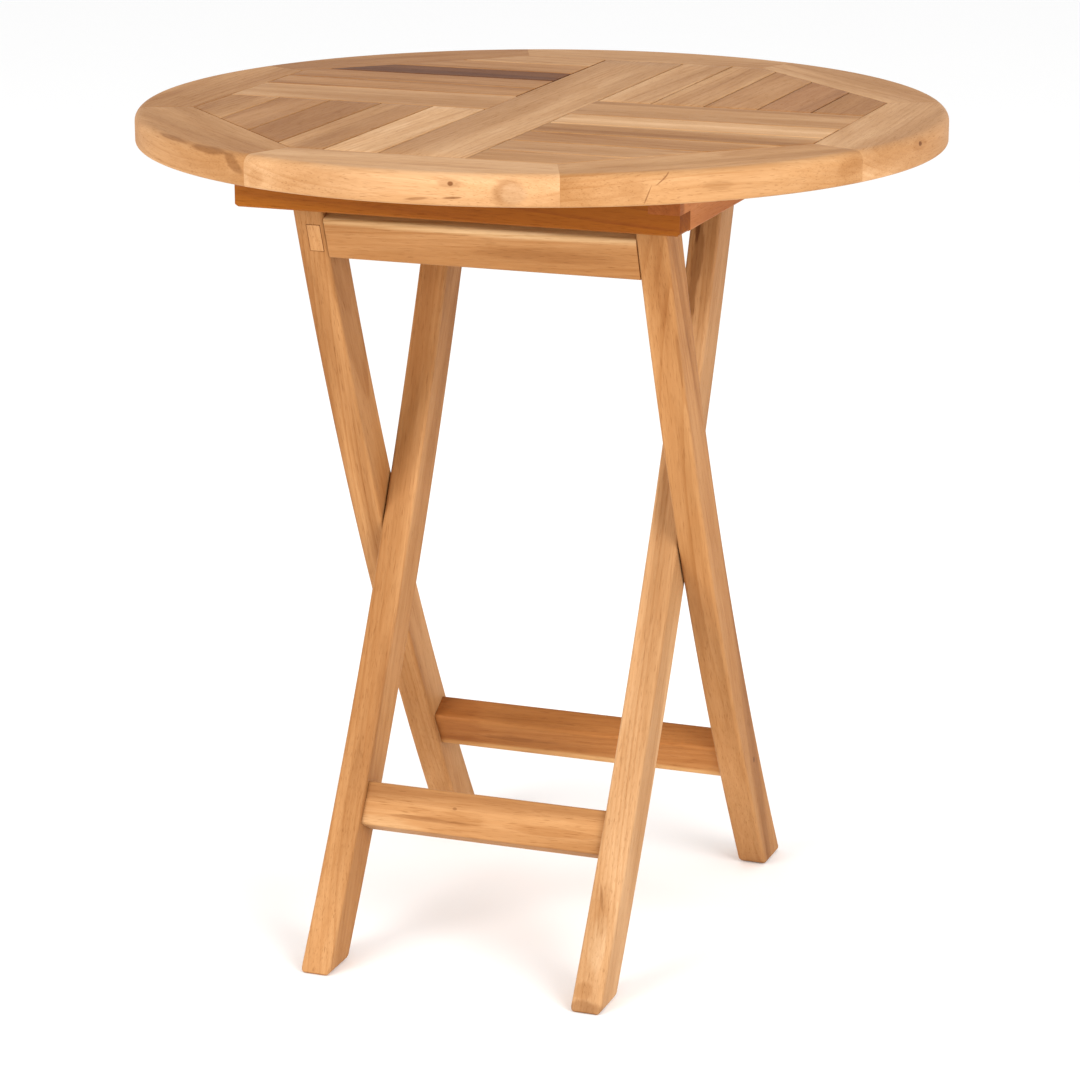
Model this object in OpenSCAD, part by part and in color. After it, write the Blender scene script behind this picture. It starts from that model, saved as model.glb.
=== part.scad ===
// Folding round garden table: a slatted top hinged on a pair of crossing leg frames.
// The origin is on the floor under the middle of the top. +Z is up and -Y is the front.
// All sizes are in millimetres.

/* [Top] */
// Diameter of the round top
top_diameter = 700; // [560:10:900]
// Height of the top's upper face above the floor
table_height = 735; // [600:5:900]
// Thickness of the rim and of every board in the top
top_thickness = 26; // [20:1:34]
// Width of the rim at its joints, where it is narrowest
rim_width = 50; // [35:1:70]
// Radius of the rounded upper edge of the rim
rim_round = 8; // [3:1:12]
// Width of the middle board and of the two cross boards
board_width = 74; // [55:1:95]
// Open gap between neighbouring boards
board_gap = 1.6; // [0.8:0.1:4]

/* [Battens] */
// Width of the battens under the top
batten_width = 27; // [20:1:36]
// Height of the battens under the top
batten_height = 39; // [32:1:52]
// Distance from the middle of the top to the outer face of the front batten
batten_reach = 211; // [180:1:240]
// Height of the lower half of the corner joint between the battens
corner_lap = 17; // [12:1:26]

/* [Legs] */
// Width across the outer pair of legs
frame_width = 333; // [280:1:400]
// Thickness of the legs, rails and rungs
leg_thickness = 27; // [21:1:36]
// Depth of a leg, seen from the side
leg_depth = 39; // [32:1:50]
// Distance between the front and rear feet, centre to centre
foot_spread = 396; // [320:2:480]
// Distance between the tops of the crossing legs, centre to centre
head_spread = 280; // [220:2:320]
// How far the middle of a leg bows away from a straight line
leg_bow = 24; // [8:1:32]
// How far the crossing point stands forward of the middle of the top
scissor_forward = 15; // [0:1:30]
// Height of the two top rails, at their middle
rail_height = 642; // [580:1:700]
// Height of the two rungs, at their middle
rung_height = 126; // [90:1:240]
// Height of a rail or rung, measured along the leg
bar_height = 39; // [30:1:50]

/* [Hardware] */
// Diameter of the hinge rod and of the crossing pins
pivot_diameter = 8; // [6:0.5:10]
// Radial play between a turning shaft and its bushing
running_clearance = 0.05; // [0.02:0.01:0.1]
// Free space between the inner and outer legs
leg_gap = 1; // [0.8:0.1:2]

/* [Hidden] */
$fn = 96;
overcut = 1;                 // tools reach this far past the face they cut
arris = 1.5;                 // small flat that eases each long edge of the frame
board_ease = 0.8;            // the same on the boards of the top
foot_bevel = 3;
side_bevel = 2;
glue_gap = 0.1;              // play of a glued tongue or tenon

// Top
top_radius = top_diameter / 2;
underside = table_height - top_thickness;
rim_sides = 8;
side_angle = 360 / rim_sides;
half_side = side_angle / 2;
seam_gap = 0.3;
seam_angle = seam_gap / top_radius * 180 / PI;
rim_ease = 2;
inner_radius = top_radius - rim_width;              // to the corners of the opening
apothem = inner_radius * cos(half_side);            // to the flats of the opening
board_half = board_width / 2;
slats_per_quarter = 5;
slat_pitch = (apothem - board_half) / slats_per_quarter;
slat_width = slat_pitch - board_gap;
quarter_turn = 90;
tongue_length = 7;
tongue_height = 7;
tongue_shoulder = 4;
tongue_base = underside + (top_thickness - tongue_height) / 2;
groove_depth = tongue_length + glue_gap;
groove_near = board_half + board_gap + tongue_shoulder - glue_gap;
groove_far = apothem - tongue_shoulder + glue_gap;
spline_length = rim_width / 2;
spline_width = 34;
spline_radius = inner_radius + rim_width * 0.56;

// Battens
side_play = 1.5;                                    // between an outer leg and a side batten
batten_inside = frame_width / 2 + side_play;
batten_outside = batten_inside + batten_width;
batten_base = underside - batten_height;
batten_ease = 2.5;
front_batten_back = batten_width - batten_reach;
screw_head = 8;
screw_shank = 4.4;
screw_head_height = 3;
screw_bite = 16;
counterbore = 9;
counterbore_depth = 14;
screw_x = batten_inside + batten_width * 0.74;
screw_front_y = batten_width / 2 - batten_reach;
screw_far_x = board_half + slat_pitch * 2.5;

// Legs: every leg is the same arc, and the outer pair has its feet at the rear
spread_sum = (foot_spread + head_spread) / 2;
leg_chord = norm([spread_sum, underside]);
arc_radius = (leg_chord * leg_chord / 4 + leg_bow * leg_bow) / (2 * leg_bow);
arc_lift = (arc_radius - leg_bow) / leg_chord;
arc_y = (foot_spread - head_spread) / 4 + arc_lift * underside;
arc_z = underside / 2 + arc_lift * spread_sum;
crossing_z = arc_z - sqrt(arc_radius * arc_radius - arc_y * arc_y);
arc_margin = asin(leg_depth / arc_radius);
arc_facets = 3600;                                  // for a full turn of this very large arc
head_play = 0.3;                                    // between a resting leg and the top
outer_inside = frame_width / 2 - leg_thickness;
inner_outside = outer_inside - leg_gap;
inner_inside = inner_outside - leg_thickness;
hinge_drop = leg_depth / 2 + 2;
hinge_z = underside - hinge_drop;
tenon_length = leg_thickness * 0.5;
tenon_share = 0.4;
tenon_shoulder = 6;
stop_play = 0.5;
patch_width = 12;
patch_height = 25;
patch_depth = 4;
patch_margin = 4;

// Hardware
pivot_radius = pivot_diameter / 2;
bushing_radius = pivot_radius + 1.6;
pin_reach = leg_thickness * 0.7;
bushing_length = pin_reach + 1;
washer_thickness = leg_gap * 0.8;
washer_radius = pivot_radius * 2.4;
spacer_radius = pivot_radius + 3;
spacer_play = 0.1;
nut_radius = pivot_radius * 1.85;
nut_height = pivot_radius * 1.6;
nut_wall = 3;
nut_washer_radius = pivot_radius * 2.2;
nut_washer_thickness = 1.6;
rod_reach = batten_outside + nut_washer_thickness + nut_height;

teak = [0.78, 0.60, 0.38];
steel = [0.72, 0.73, 0.74];
brass = [0.80, 0.66, 0.34];

// Side view of a leg's centre line, with the crossing point at y = 0
function leg_y(z) = arc_y - sqrt(arc_radius * arc_radius - (arc_z - z) * (arc_z - z));
// Direction from the centre of the arc to the centre line at height z
function leg_angle(z) = 180 + atan2(arc_z - z, arc_y - leg_y(z));
// Where a leg's face meets the floor, for a face at this distance from the centre line
function foot_y(off) = arc_y - sqrt((arc_radius + off) * (arc_radius + off) - arc_z * arc_z);
function direction(a) = [cos(a), sin(a)];
// Outline of a rectangle whose four corners are cut off by c
function eased(w, h, c) =
    [[c, 0], [w - c, 0], [w, c], [w, h - c], [w - c, h], [c, h], [0, h - c], [0, c]];
function slat_middle(n) = board_half + board_gap / 2 + (n - 0.5) * slat_pitch;

// ---------- shared shapes ----------

// A side view (y, z) drawn as a solid that runs along X from x0
module along_x(x0, length) {
    translate([x0, 0, 0]) rotate([90, 0, 90]) linear_extrude(length) children();
}

// Both members of a left and right pair
module both_sides() {
    children();
    mirror([1, 0, 0]) children();
}

module octagon(flat, height) {
    rotate([0, 0, half_side])
        cylinder(r = flat / cos(half_side), h = height, $fn = rim_sides);
}

// The part of the top that lies inside the rim, with the given reach past its inner edge
module opening(reach, base, height) {
    translate([0, 0, base]) octagon(apothem + reach, height);
}

// A board on the underside's level that runs along Y, centred on x = 0
module board(width, y0, y1) {
    translate([-width / 2, y1, underside]) rotate([90, 0, 0]) linear_extrude(y1 - y0)
        polygon(eased(width, top_thickness, board_ease));
}

// Grooves along both long edges of a board
module edge_grooves(width, y0, y1) {
    both_sides()
        translate([width / 2 - groove_depth, y0, tongue_base - glue_gap])
            cube([groove_depth + overcut, y1 - y0, tongue_height + 2 * glue_gap]);
}

module screw_at(x, y) {
    translate([x, y, batten_base + counterbore_depth]) children();
}

module screw_places() {
    screw_at(0, screw_front_y) children();
    both_sides() {
        screw_at(screw_far_x, screw_front_y) children();
        screw_at(screw_x, -slat_middle(2)) children();
        screw_at(screw_x, 0) children();
        screw_at(screw_x, slat_middle(3)) children();
    }
}

module screw() {
    cylinder(d = screw_head, h = screw_head_height);
    cylinder(d = screw_shank, h = underside + screw_bite - batten_base - counterbore_depth);
}

module screw_holes() {
    screw_places() {
        translate([0, 0, -counterbore_depth - overcut])
            cylinder(d = counterbore,
                     h = counterbore_depth + screw_head_height + overcut + glue_gap);
        cylinder(d = screw_shank + 2 * glue_gap,
                 h = underside + screw_bite - batten_base - counterbore_depth + glue_gap);
    }
}

// ---------- top ----------

module rim_profile() {
    inside = apothem - overcut;
    translate([0, underside]) {
        polygon([[inside, 0], [top_radius - rim_ease, 0], [top_radius, rim_ease],
                 [top_radius, top_thickness - rim_round],
                 [top_radius - rim_round, top_thickness], [inside, top_thickness]]);
        translate([top_radius - rim_round, top_thickness - rim_round]) circle(r = rim_round);
    }
}

module spline_block(play) {
    translate([spline_radius - spline_length / 2 - play, -spline_width / 2 - play,
               tongue_base - play])
        cube([spline_length + 2 * play, spline_width + 2 * play, tongue_height + 2 * play]);
}

// Segment number n, counted anticlockwise from the front
module rim_segment(n) {
    middle = n * side_angle - 90;
    difference() {
        rotate([0, 0, middle]) difference() {
            rotate([0, 0, seam_angle / 2 - half_side])
                rotate_extrude(angle = side_angle - seam_angle) rim_profile();
            opening(0, underside - overcut, top_thickness + 2 * overcut);
            opening(groove_depth, tongue_base - glue_gap, tongue_height + 2 * glue_gap);
            for (side = [-1, 1]) rotate([0, 0, side * half_side]) spline_block(glue_gap);
        }
        screw_holes();
    }
}

module rim_splines() {
    color(teak) for (n = [1 : rim_sides]) rotate([0, 0, (n - 0.5) * side_angle]) spline_block(0);
}

module centre_board() {
    reach = apothem + tongue_length;
    color(teak) difference() {
        union() {
            intersection() {
                board(board_width, -reach, reach);
                opening(0, underside, top_thickness);
            }
            translate([-board_half + tongue_shoulder, -reach, tongue_base])
                cube([board_width - 2 * tongue_shoulder, 2 * reach, tongue_height]);
        }
        edge_grooves(board_width, -groove_far, groove_far);
        screw_holes();
    }
}

// The right-hand cross board, between the middle board and the rim
module cross_board(turn) {
    start = board_half;
    reach = apothem + tongue_length;
    rotate([0, 0, turn]) difference() {
        union() {
            rotate([0, 0, -quarter_turn]) board(board_width, start, apothem);
            translate([start - tongue_length, -board_half + tongue_shoulder, tongue_base])
                cube([reach - start + tongue_length, board_width - 2 * tongue_shoulder,
                      tongue_height]);
        }
        rotate([0, 0, -quarter_turn])
            edge_grooves(board_width, groove_near, groove_far);
        screw_holes();
    }
}

// Slat number n of one quarter, counted outwards from the long board beside it.
// Turn 0 is the front left quarter, and each quarter turn anticlockwise is the next.
module quarter_slat(n, turn) {
    middle = -slat_middle(n);
    near_end = -board_half - board_gap;
    far_end = -apothem - tongue_length;
    color(teak) difference() {
        rotate([0, 0, turn * quarter_turn]) {
            intersection() {
                translate([middle, 0, 0]) board(slat_width, far_end, near_end);
                opening(0, underside, top_thickness);
            }
            intersection() {
                translate([middle - slat_width / 2 + tongue_shoulder, far_end, tongue_base])
                    cube([slat_width - 2 * tongue_shoulder,
                          near_end - far_end + tongue_length + board_gap, tongue_height]);
                opening(tongue_length, tongue_base, tongue_height);
            }
        }
        screw_holes();
    }
}

module rim_front() { color(teak) rim_segment(0); }
module rim_front_right() { color(teak) rim_segment(1); }
module rim_right() { color(teak) rim_segment(2); }
module rim_rear_right() { color(teak) rim_segment(3); }
module rim_rear() { color(teak) rim_segment(4); }
module rim_rear_left() { color(teak) rim_segment(5); }
module rim_left() { color(teak) rim_segment(6); }
module rim_front_left() { color(teak) rim_segment(7); }
module cross_board_right() { color(teak) cross_board(0); }
module cross_board_left() { color(teak) cross_board(2 * quarter_turn); }
module slat_front_left_1() { quarter_slat(1, 0); }
module slat_front_left_2() { quarter_slat(2, 0); }
module slat_front_left_3() { quarter_slat(3, 0); }
module slat_front_left_4() { quarter_slat(4, 0); }
module slat_front_left_5() { quarter_slat(5, 0); }
module slat_front_right_1() { quarter_slat(1, 1); }
module slat_front_right_2() { quarter_slat(2, 1); }
module slat_front_right_3() { quarter_slat(3, 1); }
module slat_front_right_4() { quarter_slat(4, 1); }
module slat_front_right_5() { quarter_slat(5, 1); }
module slat_rear_right_1() { quarter_slat(1, 2); }
module slat_rear_right_2() { quarter_slat(2, 2); }
module slat_rear_right_3() { quarter_slat(3, 2); }
module slat_rear_right_4() { quarter_slat(4, 2); }
module slat_rear_right_5() { quarter_slat(5, 2); }
module slat_rear_left_1() { quarter_slat(1, 3); }
module slat_rear_left_2() { quarter_slat(2, 3); }
module slat_rear_left_3() { quarter_slat(3, 3); }
module slat_rear_left_4() { quarter_slat(4, 3); }
module slat_rear_left_5() { quarter_slat(5, 3); }

// ---------- battens ----------

module front_batten() {
    color(teak) difference() {
        intersection() {
            translate([0, -batten_reach, batten_base]) along_x(-batten_outside, 2 * batten_outside)
                polygon(eased(batten_width, batten_height, arris));
            translate([-batten_outside, front_batten_back, batten_base]) rotate([90, 0, 0])
                linear_extrude(batten_width)
                    polygon(eased(2 * batten_outside, batten_height, batten_ease));
        }
        both_sides()
            translate([batten_inside, -batten_reach - overcut, batten_base + corner_lap])
                cube([batten_width + overcut, batten_width + 2 * overcut, batten_height]);
        screw_holes();
    }
}

module side_batten_right() {
    color(teak) difference() {
        intersection() {
            translate([batten_inside, batten_reach, batten_base]) rotate([90, 0, 0])
                linear_extrude(2 * batten_reach) polygon(eased(batten_width, batten_height, arris));
            translate([0, -batten_reach, batten_base]) along_x(batten_inside, batten_width)
                polygon(eased(2 * batten_reach, batten_height, batten_ease));
        }
        translate([batten_inside - overcut, -batten_reach - overcut, batten_base - overcut])
            cube([batten_width + 2 * overcut, batten_width + overcut, corner_lap + overcut]);
        hinge_bore(pivot_radius + glue_gap, batten_inside - overcut, batten_width + 2 * overcut);
        screw_holes();
    }
}

module side_batten_left() {
    mirror([1, 0, 0]) side_batten_right();
}

// Blocks behind the front batten that the outer leg tops bear against
module stop_blocks() {
    front = front_batten_back;
    back = -scissor_forward + leg_y(underside) - leg_depth / 2 / cos(leg_angle(underside) - 180)
           - stop_play;
    height = batten_height * 0.6;
    color(teak) both_sides()
        translate([outer_inside, front, underside - height])
            cube([leg_thickness, back - front, height]);
}

module batten_screws() {
    color(steel) screw_places() screw();
}

// ---------- legs ----------

// Places a drawing on the leg's centre line at height z: x points out of the bowed side
module on_leg(z, x0) {
    translate([0, -scissor_forward, 0]) rotate([90, 0, 90])
        translate([arc_y, arc_z, x0]) rotate([0, 0, leg_angle(z)])
            translate([arc_radius, 0, 0]) children();
}

// The bowed leg from angle a0 at its head to angle a1 at its foot
module leg_arc(x0, a0, a1) {
    translate([0, -scissor_forward, 0]) rotate([90, 0, 90])
        translate([arc_y, arc_z, x0]) rotate([0, 0, a0])
            rotate_extrude(angle = a1 - a0, $fn = arc_facets)
                translate([arc_radius - leg_depth / 2, 0])
                    polygon(eased(leg_depth, leg_thickness, arris));
}

// Cuts off the corner p, whose two faces leave it in the directions a1 and a2
module corner_cut(p, a1, a2, size) {
    u = direction(a1);
    v = direction(a2);
    polygon([p + size * u + (u - v) * overcut, p + size * v + (v - u) * overcut,
             p - (u + v) * size]);
}

// Everything below the floor, and a bevel around the end of a foot
module foot_trim(x0) {
    up = leg_angle(0) - 90;
    reach = leg_depth * 2;
    width = leg_thickness + 2 * overcut;
    translate([0, -scissor_forward, 0]) {
        translate([x0 - overcut, leg_y(0) - reach, -reach]) cube([width, 2 * reach, reach]);
        along_x(x0 - overcut, width) {
            corner_cut([foot_y(leg_depth / 2), 0], up, 0, foot_bevel);
            corner_cut([foot_y(-leg_depth / 2), 0], up, 180, foot_bevel);
        }
        translate([0, leg_y(0) + reach, 0]) rotate([90, 0, 0]) linear_extrude(2 * reach) {
            corner_cut([x0, 0], 90, 0, side_bevel);
            corner_cut([x0 + leg_thickness, 0], 90, 180, side_bevel);
        }
    }
}

// A rail or rung between two legs, with a tenon at each end.
// Lift is how far its middle stands off the centre line, towards the bowed side.
module cross_bar(z, lift, inside) {
    on_leg(z, -inside) translate([lift - leg_thickness / 2, -bar_height / 2, 0])
        linear_extrude(2 * inside) polygon(eased(leg_thickness, bar_height, arris));
    on_leg(z, -inside - tenon_length) bar_tenon(lift, 2 * (inside + tenon_length), 0);
}

module bar_tenon(lift, length, play) {
    thickness = leg_thickness * tenon_share + 2 * play;
    height = bar_height - 2 * tenon_shoulder + 2 * play;
    translate([lift - thickness / 2, -height / 2, -play])
        cube([thickness, height, length + 2 * play]);
}

module mortise(z, lift, inside) {
    on_leg(z, inside - overcut) bar_tenon(lift, tenon_length + overcut, glue_gap);
}

rail_lift = (leg_depth - leg_thickness) / 2;

module patch_block(play, proud) {
    on_leg(rail_height, outer_inside + patch_margin - play)
        translate([leg_depth / 2 - patch_depth - play, -patch_height / 2 - play, 0])
            cube([patch_depth + play + proud, patch_height + 2 * play, patch_width + 2 * play]);
}

module crossing_bore(radius, x0, length) {
    translate([x0, -scissor_forward, crossing_z]) rotate([0, 90, 0])
        cylinder(r = radius, h = length);
}

// The hinge line runs through the heads of the inner legs
module hinge_bore(radius, x0, length) {
    translate([x0, -leg_y(hinge_z) - scissor_forward, hinge_z]) rotate([0, 90, 0])
        cylinder(r = radius, h = length);
}

module outer_leg() {
    difference() {
        leg_arc(outer_inside, leg_angle(underside) - arc_margin, leg_angle(0) + arc_margin);
        foot_trim(outer_inside);
        translate([outer_inside - overcut, -foot_spread, underside - head_play])
            cube([leg_thickness + 2 * overcut, 2 * foot_spread, 3 * leg_depth]);
        mortise(rail_height, rail_lift, outer_inside);
        mortise(rung_height, 0, outer_inside);
        crossing_bore(pivot_radius + glue_gap / 2, outer_inside - overcut,
                      pin_reach + overcut + glue_gap);
    }
}

module outer_leg_right() { color(teak) outer_leg(); }

module outer_leg_left() {
    color(teak) mirror([1, 0, 0]) difference() {
        outer_leg();
        patch_block(glue_gap, overcut);
    }
}

module leg_patch() { color(teak) mirror([1, 0, 0]) patch_block(0, 0); }

module outer_top_rail() { color(teak) cross_bar(rail_height, rail_lift, outer_inside); }
module outer_rung() { color(teak) cross_bar(rung_height, 0, outer_inside); }

// The inner frame is the outer frame's shape turned to face the other way
module facing_back() {
    translate([0, -2 * scissor_forward, 0]) mirror([0, 1, 0]) children();
}

module leg_head(x0) {
    r = leg_depth / 2;
    on_leg(hinge_z, x0) rotate_extrude()
        polygon([[0, 0], [r - arris, 0], [r, arris], [r, leg_thickness - arris],
                 [r - arris, leg_thickness], [0, leg_thickness]]);
}

module inner_leg() {
    difference() {
        facing_back() difference() {
            union() {
                leg_arc(inner_inside, leg_angle(hinge_z), leg_angle(0) + arc_margin);
                leg_head(inner_inside);
            }
            foot_trim(inner_inside);
            mortise(rail_height, rail_lift, inner_inside);
            mortise(rung_height, 0, inner_inside);
        }
        crossing_bore(bushing_radius + glue_gap / 2, inner_outside - bushing_length - glue_gap,
                      bushing_length + glue_gap + overcut);
        hinge_bore(bushing_radius + glue_gap / 2, inner_inside - overcut,
                   leg_thickness + 2 * overcut);
    }
}

module inner_leg_right() { color(teak) inner_leg(); }
module inner_leg_left() { color(teak) mirror([1, 0, 0]) inner_leg(); }
module inner_top_rail() {
    color(teak) facing_back() cross_bar(rail_height, rail_lift, inner_inside);
}
module inner_rung() { color(teak) facing_back() cross_bar(rung_height, 0, inner_inside); }

// ---------- hardware ----------

module crossing_pins() {
    color(steel) both_sides()
        crossing_bore(pivot_radius, outer_inside - leg_gap - pin_reach, leg_gap + 2 * pin_reach);
}

module crossing_bushings() {
    color(brass) both_sides() difference() {
        crossing_bore(bushing_radius, inner_outside - bushing_length, bushing_length);
        crossing_bore(pivot_radius + running_clearance, inner_outside - bushing_length - overcut,
                      bushing_length + 2 * overcut);
    }
}

module crossing_washers() {
    start = inner_outside + (leg_gap - washer_thickness) / 2;
    color(brass) both_sides() difference() {
        crossing_bore(washer_radius, start, washer_thickness);
        crossing_bore(pivot_radius + running_clearance, start - overcut,
                      washer_thickness + 2 * overcut);
    }
}

module hinge_rod() {
    color(steel) hinge_bore(pivot_radius, -rod_reach, 2 * rod_reach);
}

module hinge_bushings() {
    color(brass) both_sides() difference() {
        hinge_bore(bushing_radius, inner_inside, leg_thickness);
        hinge_bore(pivot_radius + running_clearance, inner_inside - overcut,
                   leg_thickness + 2 * overcut);
    }
}

module hinge_spacers() {
    start = inner_outside + spacer_play;
    length = batten_inside - inner_outside - 2 * spacer_play;
    color(brass) both_sides() difference() {
        hinge_bore(spacer_radius, start, length);
        hinge_bore(pivot_radius + glue_gap / 2, start - overcut, length + 2 * overcut);
    }
}

module hinge_washers() {
    start = batten_outside + glue_gap / 2;
    color(steel) both_sides() difference() {
        hinge_bore(nut_washer_radius, start, nut_washer_thickness - glue_gap);
        hinge_bore(pivot_radius + glue_gap / 2, start - overcut,
                   nut_washer_thickness + 2 * overcut);
    }
}

// Cap nuts: a six-sided body with a domed end
module hinge_nuts() {
    start = batten_outside + nut_washer_thickness;
    dome = nut_radius * cos(30) * 0.94;
    color(steel) both_sides() difference() {
        union() {
            hinge_bore(nut_radius, start, nut_height, $fn = 6);
            translate([start + nut_height, -leg_y(hinge_z) - scissor_forward, hinge_z])
                sphere(r = dome);
        }
        hinge_bore(nut_radius * 2, start - nut_radius * 2, nut_radius * 2);
        hinge_bore(pivot_radius + glue_gap / 2, start - overcut,
                   nut_height + overcut + glue_gap);
    }
}

rim_front();
rim_front_right();
rim_right();
rim_rear_right();
rim_rear();
rim_rear_left();
rim_left();
rim_front_left();
rim_splines();
centre_board();
cross_board_left();
cross_board_right();
slat_front_left_1();
slat_front_left_2();
slat_front_left_3();
slat_front_left_4();
slat_front_left_5();
slat_front_right_1();
slat_front_right_2();
slat_front_right_3();
slat_front_right_4();
slat_front_right_5();
slat_rear_right_1();
slat_rear_right_2();
slat_rear_right_3();
slat_rear_right_4();
slat_rear_right_5();
slat_rear_left_1();
slat_rear_left_2();
slat_rear_left_3();
slat_rear_left_4();
slat_rear_left_5();
front_batten();
side_batten_left();
side_batten_right();
stop_blocks();
batten_screws();
outer_leg_left();
outer_leg_right();
leg_patch();
outer_top_rail();
outer_rung();
inner_leg_left();
inner_leg_right();
inner_top_rail();
inner_rung();
crossing_pins();
crossing_bushings();
crossing_washers();
hinge_rod();
hinge_bushings();
hinge_spacers();
hinge_washers();
hinge_nuts();
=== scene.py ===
"""Folding round garden table in bare teak: its finished pieces, their wood and the studio.

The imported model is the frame. Every board of the top and every bar of the two leg
frames is made again here with its softened edges and its own piece of teak, in metres
and in the frame's own coordinates: z is up, -y is the front and the floor is z = 0.
"""

import logging
import math
from dataclasses import dataclass, field
from enum import Enum
from typing import Sequence

import bmesh
import bpy
import numpy as np
from mathutils import Matrix, Vector


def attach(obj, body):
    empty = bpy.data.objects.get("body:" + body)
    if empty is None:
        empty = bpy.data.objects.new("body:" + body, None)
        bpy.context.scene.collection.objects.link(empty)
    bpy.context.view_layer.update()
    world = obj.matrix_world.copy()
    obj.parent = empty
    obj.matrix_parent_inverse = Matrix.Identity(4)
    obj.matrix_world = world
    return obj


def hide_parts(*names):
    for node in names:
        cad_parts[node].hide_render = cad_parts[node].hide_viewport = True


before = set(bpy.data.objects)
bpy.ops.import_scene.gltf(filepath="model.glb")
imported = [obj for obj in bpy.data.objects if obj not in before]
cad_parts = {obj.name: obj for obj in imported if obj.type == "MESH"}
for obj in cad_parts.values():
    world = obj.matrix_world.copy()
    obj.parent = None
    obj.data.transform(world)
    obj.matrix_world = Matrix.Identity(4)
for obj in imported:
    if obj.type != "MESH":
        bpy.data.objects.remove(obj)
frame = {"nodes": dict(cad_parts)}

LOG = logging.getLogger("garden_table")
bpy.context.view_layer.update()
MM = 0.001

# The mesh attribute that holds how far a point is round an edge, where the wood gets a painted highlight, or
# minus its share of standing in a joint or a gap, where it gets painted shade.
EDGE = "edge"
FLAT_END = 0.012
SMALLEST_ROUND = 0.12 * MM
WELD = 0.002 * MM
SHARP = math.radians(42)


# ---------------------------------------------------------------- shapes


def bar_section(
    half: np.ndarray | tuple[float, float],
    centre: np.ndarray | tuple[float, float],
    radii: Sequence[float],
    inset: np.ndarray,
    steps: int,
    flats: np.ndarray,
    seams: Sequence[float] = (0.0, 0.0, 0.0, 0.0),
) -> tuple[np.ndarray, np.ndarray]:
    """Sections of a bar with four rounded corners, one for each station along it.

    A corner is an arc about a point that lies one radius inside both faces, and the
    flats between two arcs are straight. An inset of e moves every face in by e and
    takes e off each radius.

    Args:
        half: Half width and half height, n by 2, or one pair for the whole bar.
        centre: Middle of the section at each station, n by 2, or one pair.
        radii: Corner radii, counted anticlockwise from the (+, +) corner.
        inset: How far each station's faces are drawn in.
        steps: Number of facets in a corner.
        flats: Where the points between two arcs lie, 4 by f, as shares of the flat.
        seams: For each flat from the top one on, 1 if it stands in a joint or a gap.

    Returns:
        The points, n by m by 2, and how far each one is round a corner, from 0 to 1,
        or minus the seam's share on a flat.
    """
    half, centre = (np.broadcast_to(pair, (len(inset), 2)) for pair in (half, centre))
    signs = np.array([[1, 1], [-1, 1], [-1, -1], [1, -1]], float)
    r = np.maximum(np.asarray(radii)[None, :] - inset[:, None], SMALLEST_ROUND)
    hub = signs[None] * (half[:, None, :] - inset[:, None, None] - r[:, :, None])
    turn = np.linspace(0.0, math.pi / 2, steps + 1)
    angle = np.arange(4)[:, None] * math.pi / 2 + turn[None, :]
    ray = np.stack([np.cos(angle), np.sin(angle)], axis=-1)
    arc = hub[:, :, None, :] + r[:, :, None, None] * ray[None]
    first = np.roll(arc, -1, axis=1)[:, :, :1]
    last = arc[:, :, -1:]
    flat = last + (first - last) * flats[None, :, :, None]
    points = np.concatenate([arc, flat], axis=2) + centre[:, None, None, :]
    flat_share = -np.tile(np.asarray(seams, float)[:, None], (1, flats.shape[1]))
    round_share = np.concatenate([np.tile(np.sin(2 * turn), (4, 1)), flat_share], axis=1)
    shape = (len(inset), -1)
    share = np.tile(round_share, (len(inset), 1, 1))
    return points.reshape(*shape, 2), share.reshape(shape)


def even_flats(count: int = 5, kink: float | None = None, side: int = 0) -> np.ndarray:
    """Places for the points on the four flats, with one close to each end.

    Args:
        count: How many points lie between the two end ones.
        kink: A share of one flat that must have a point, and of the flat facing it.
        side: Which flat the kink is on.

    Returns:
        The shares, 4 by count + 2.
    """
    inner = np.linspace(0.0, 1.0, count + 2)[1:-1]
    rows = np.tile(np.concatenate([[FLAT_END], inner, [1.0 - FLAT_END]]), (4, 1))
    if kink is not None:
        nearest = 1 + int(np.argmin(np.abs(inner - kink)))
        rows[side, nearest] = kink
        rows[(side + 2) % 4, count + 1 - nearest] = 1.0 - kink
    return rows


def eased_stations(ease: float, middle: int, steps: int = 3) -> tuple[np.ndarray, ...]:
    """Stations of a bar whose two ends are softened.

    Near an end the faces follow a quarter circle: the inset is ease times one minus
    the sine, and the distance from the end is ease times one minus the cosine.

    Args:
        ease: Radius of the softened end.
        middle: Number of stations between the two ends.
        steps: Facets in the quarter circle.

    Returns:
        Inset, distance from the start, share of the way, and distance from the end.
    """
    a = np.linspace(0.0, math.pi / 2, steps + 1)
    inset = np.concatenate([[ease * 1.25], ease * (1 - np.sin(a))])
    reach = np.concatenate([[0.0], ease * (1 - np.cos(a))])
    zeros = np.zeros(middle)
    return (
        np.concatenate([inset, zeros, inset[::-1]]),
        np.concatenate([reach, zeros + ease, np.zeros(len(reach)) + ease]),
        np.concatenate([np.zeros(len(reach)), np.linspace(0, 1, middle + 2)[1:-1],
                        np.ones(len(reach))]),
        np.concatenate([np.zeros(len(reach)) + ease, zeros + ease, reach[::-1]]),
    )


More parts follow.
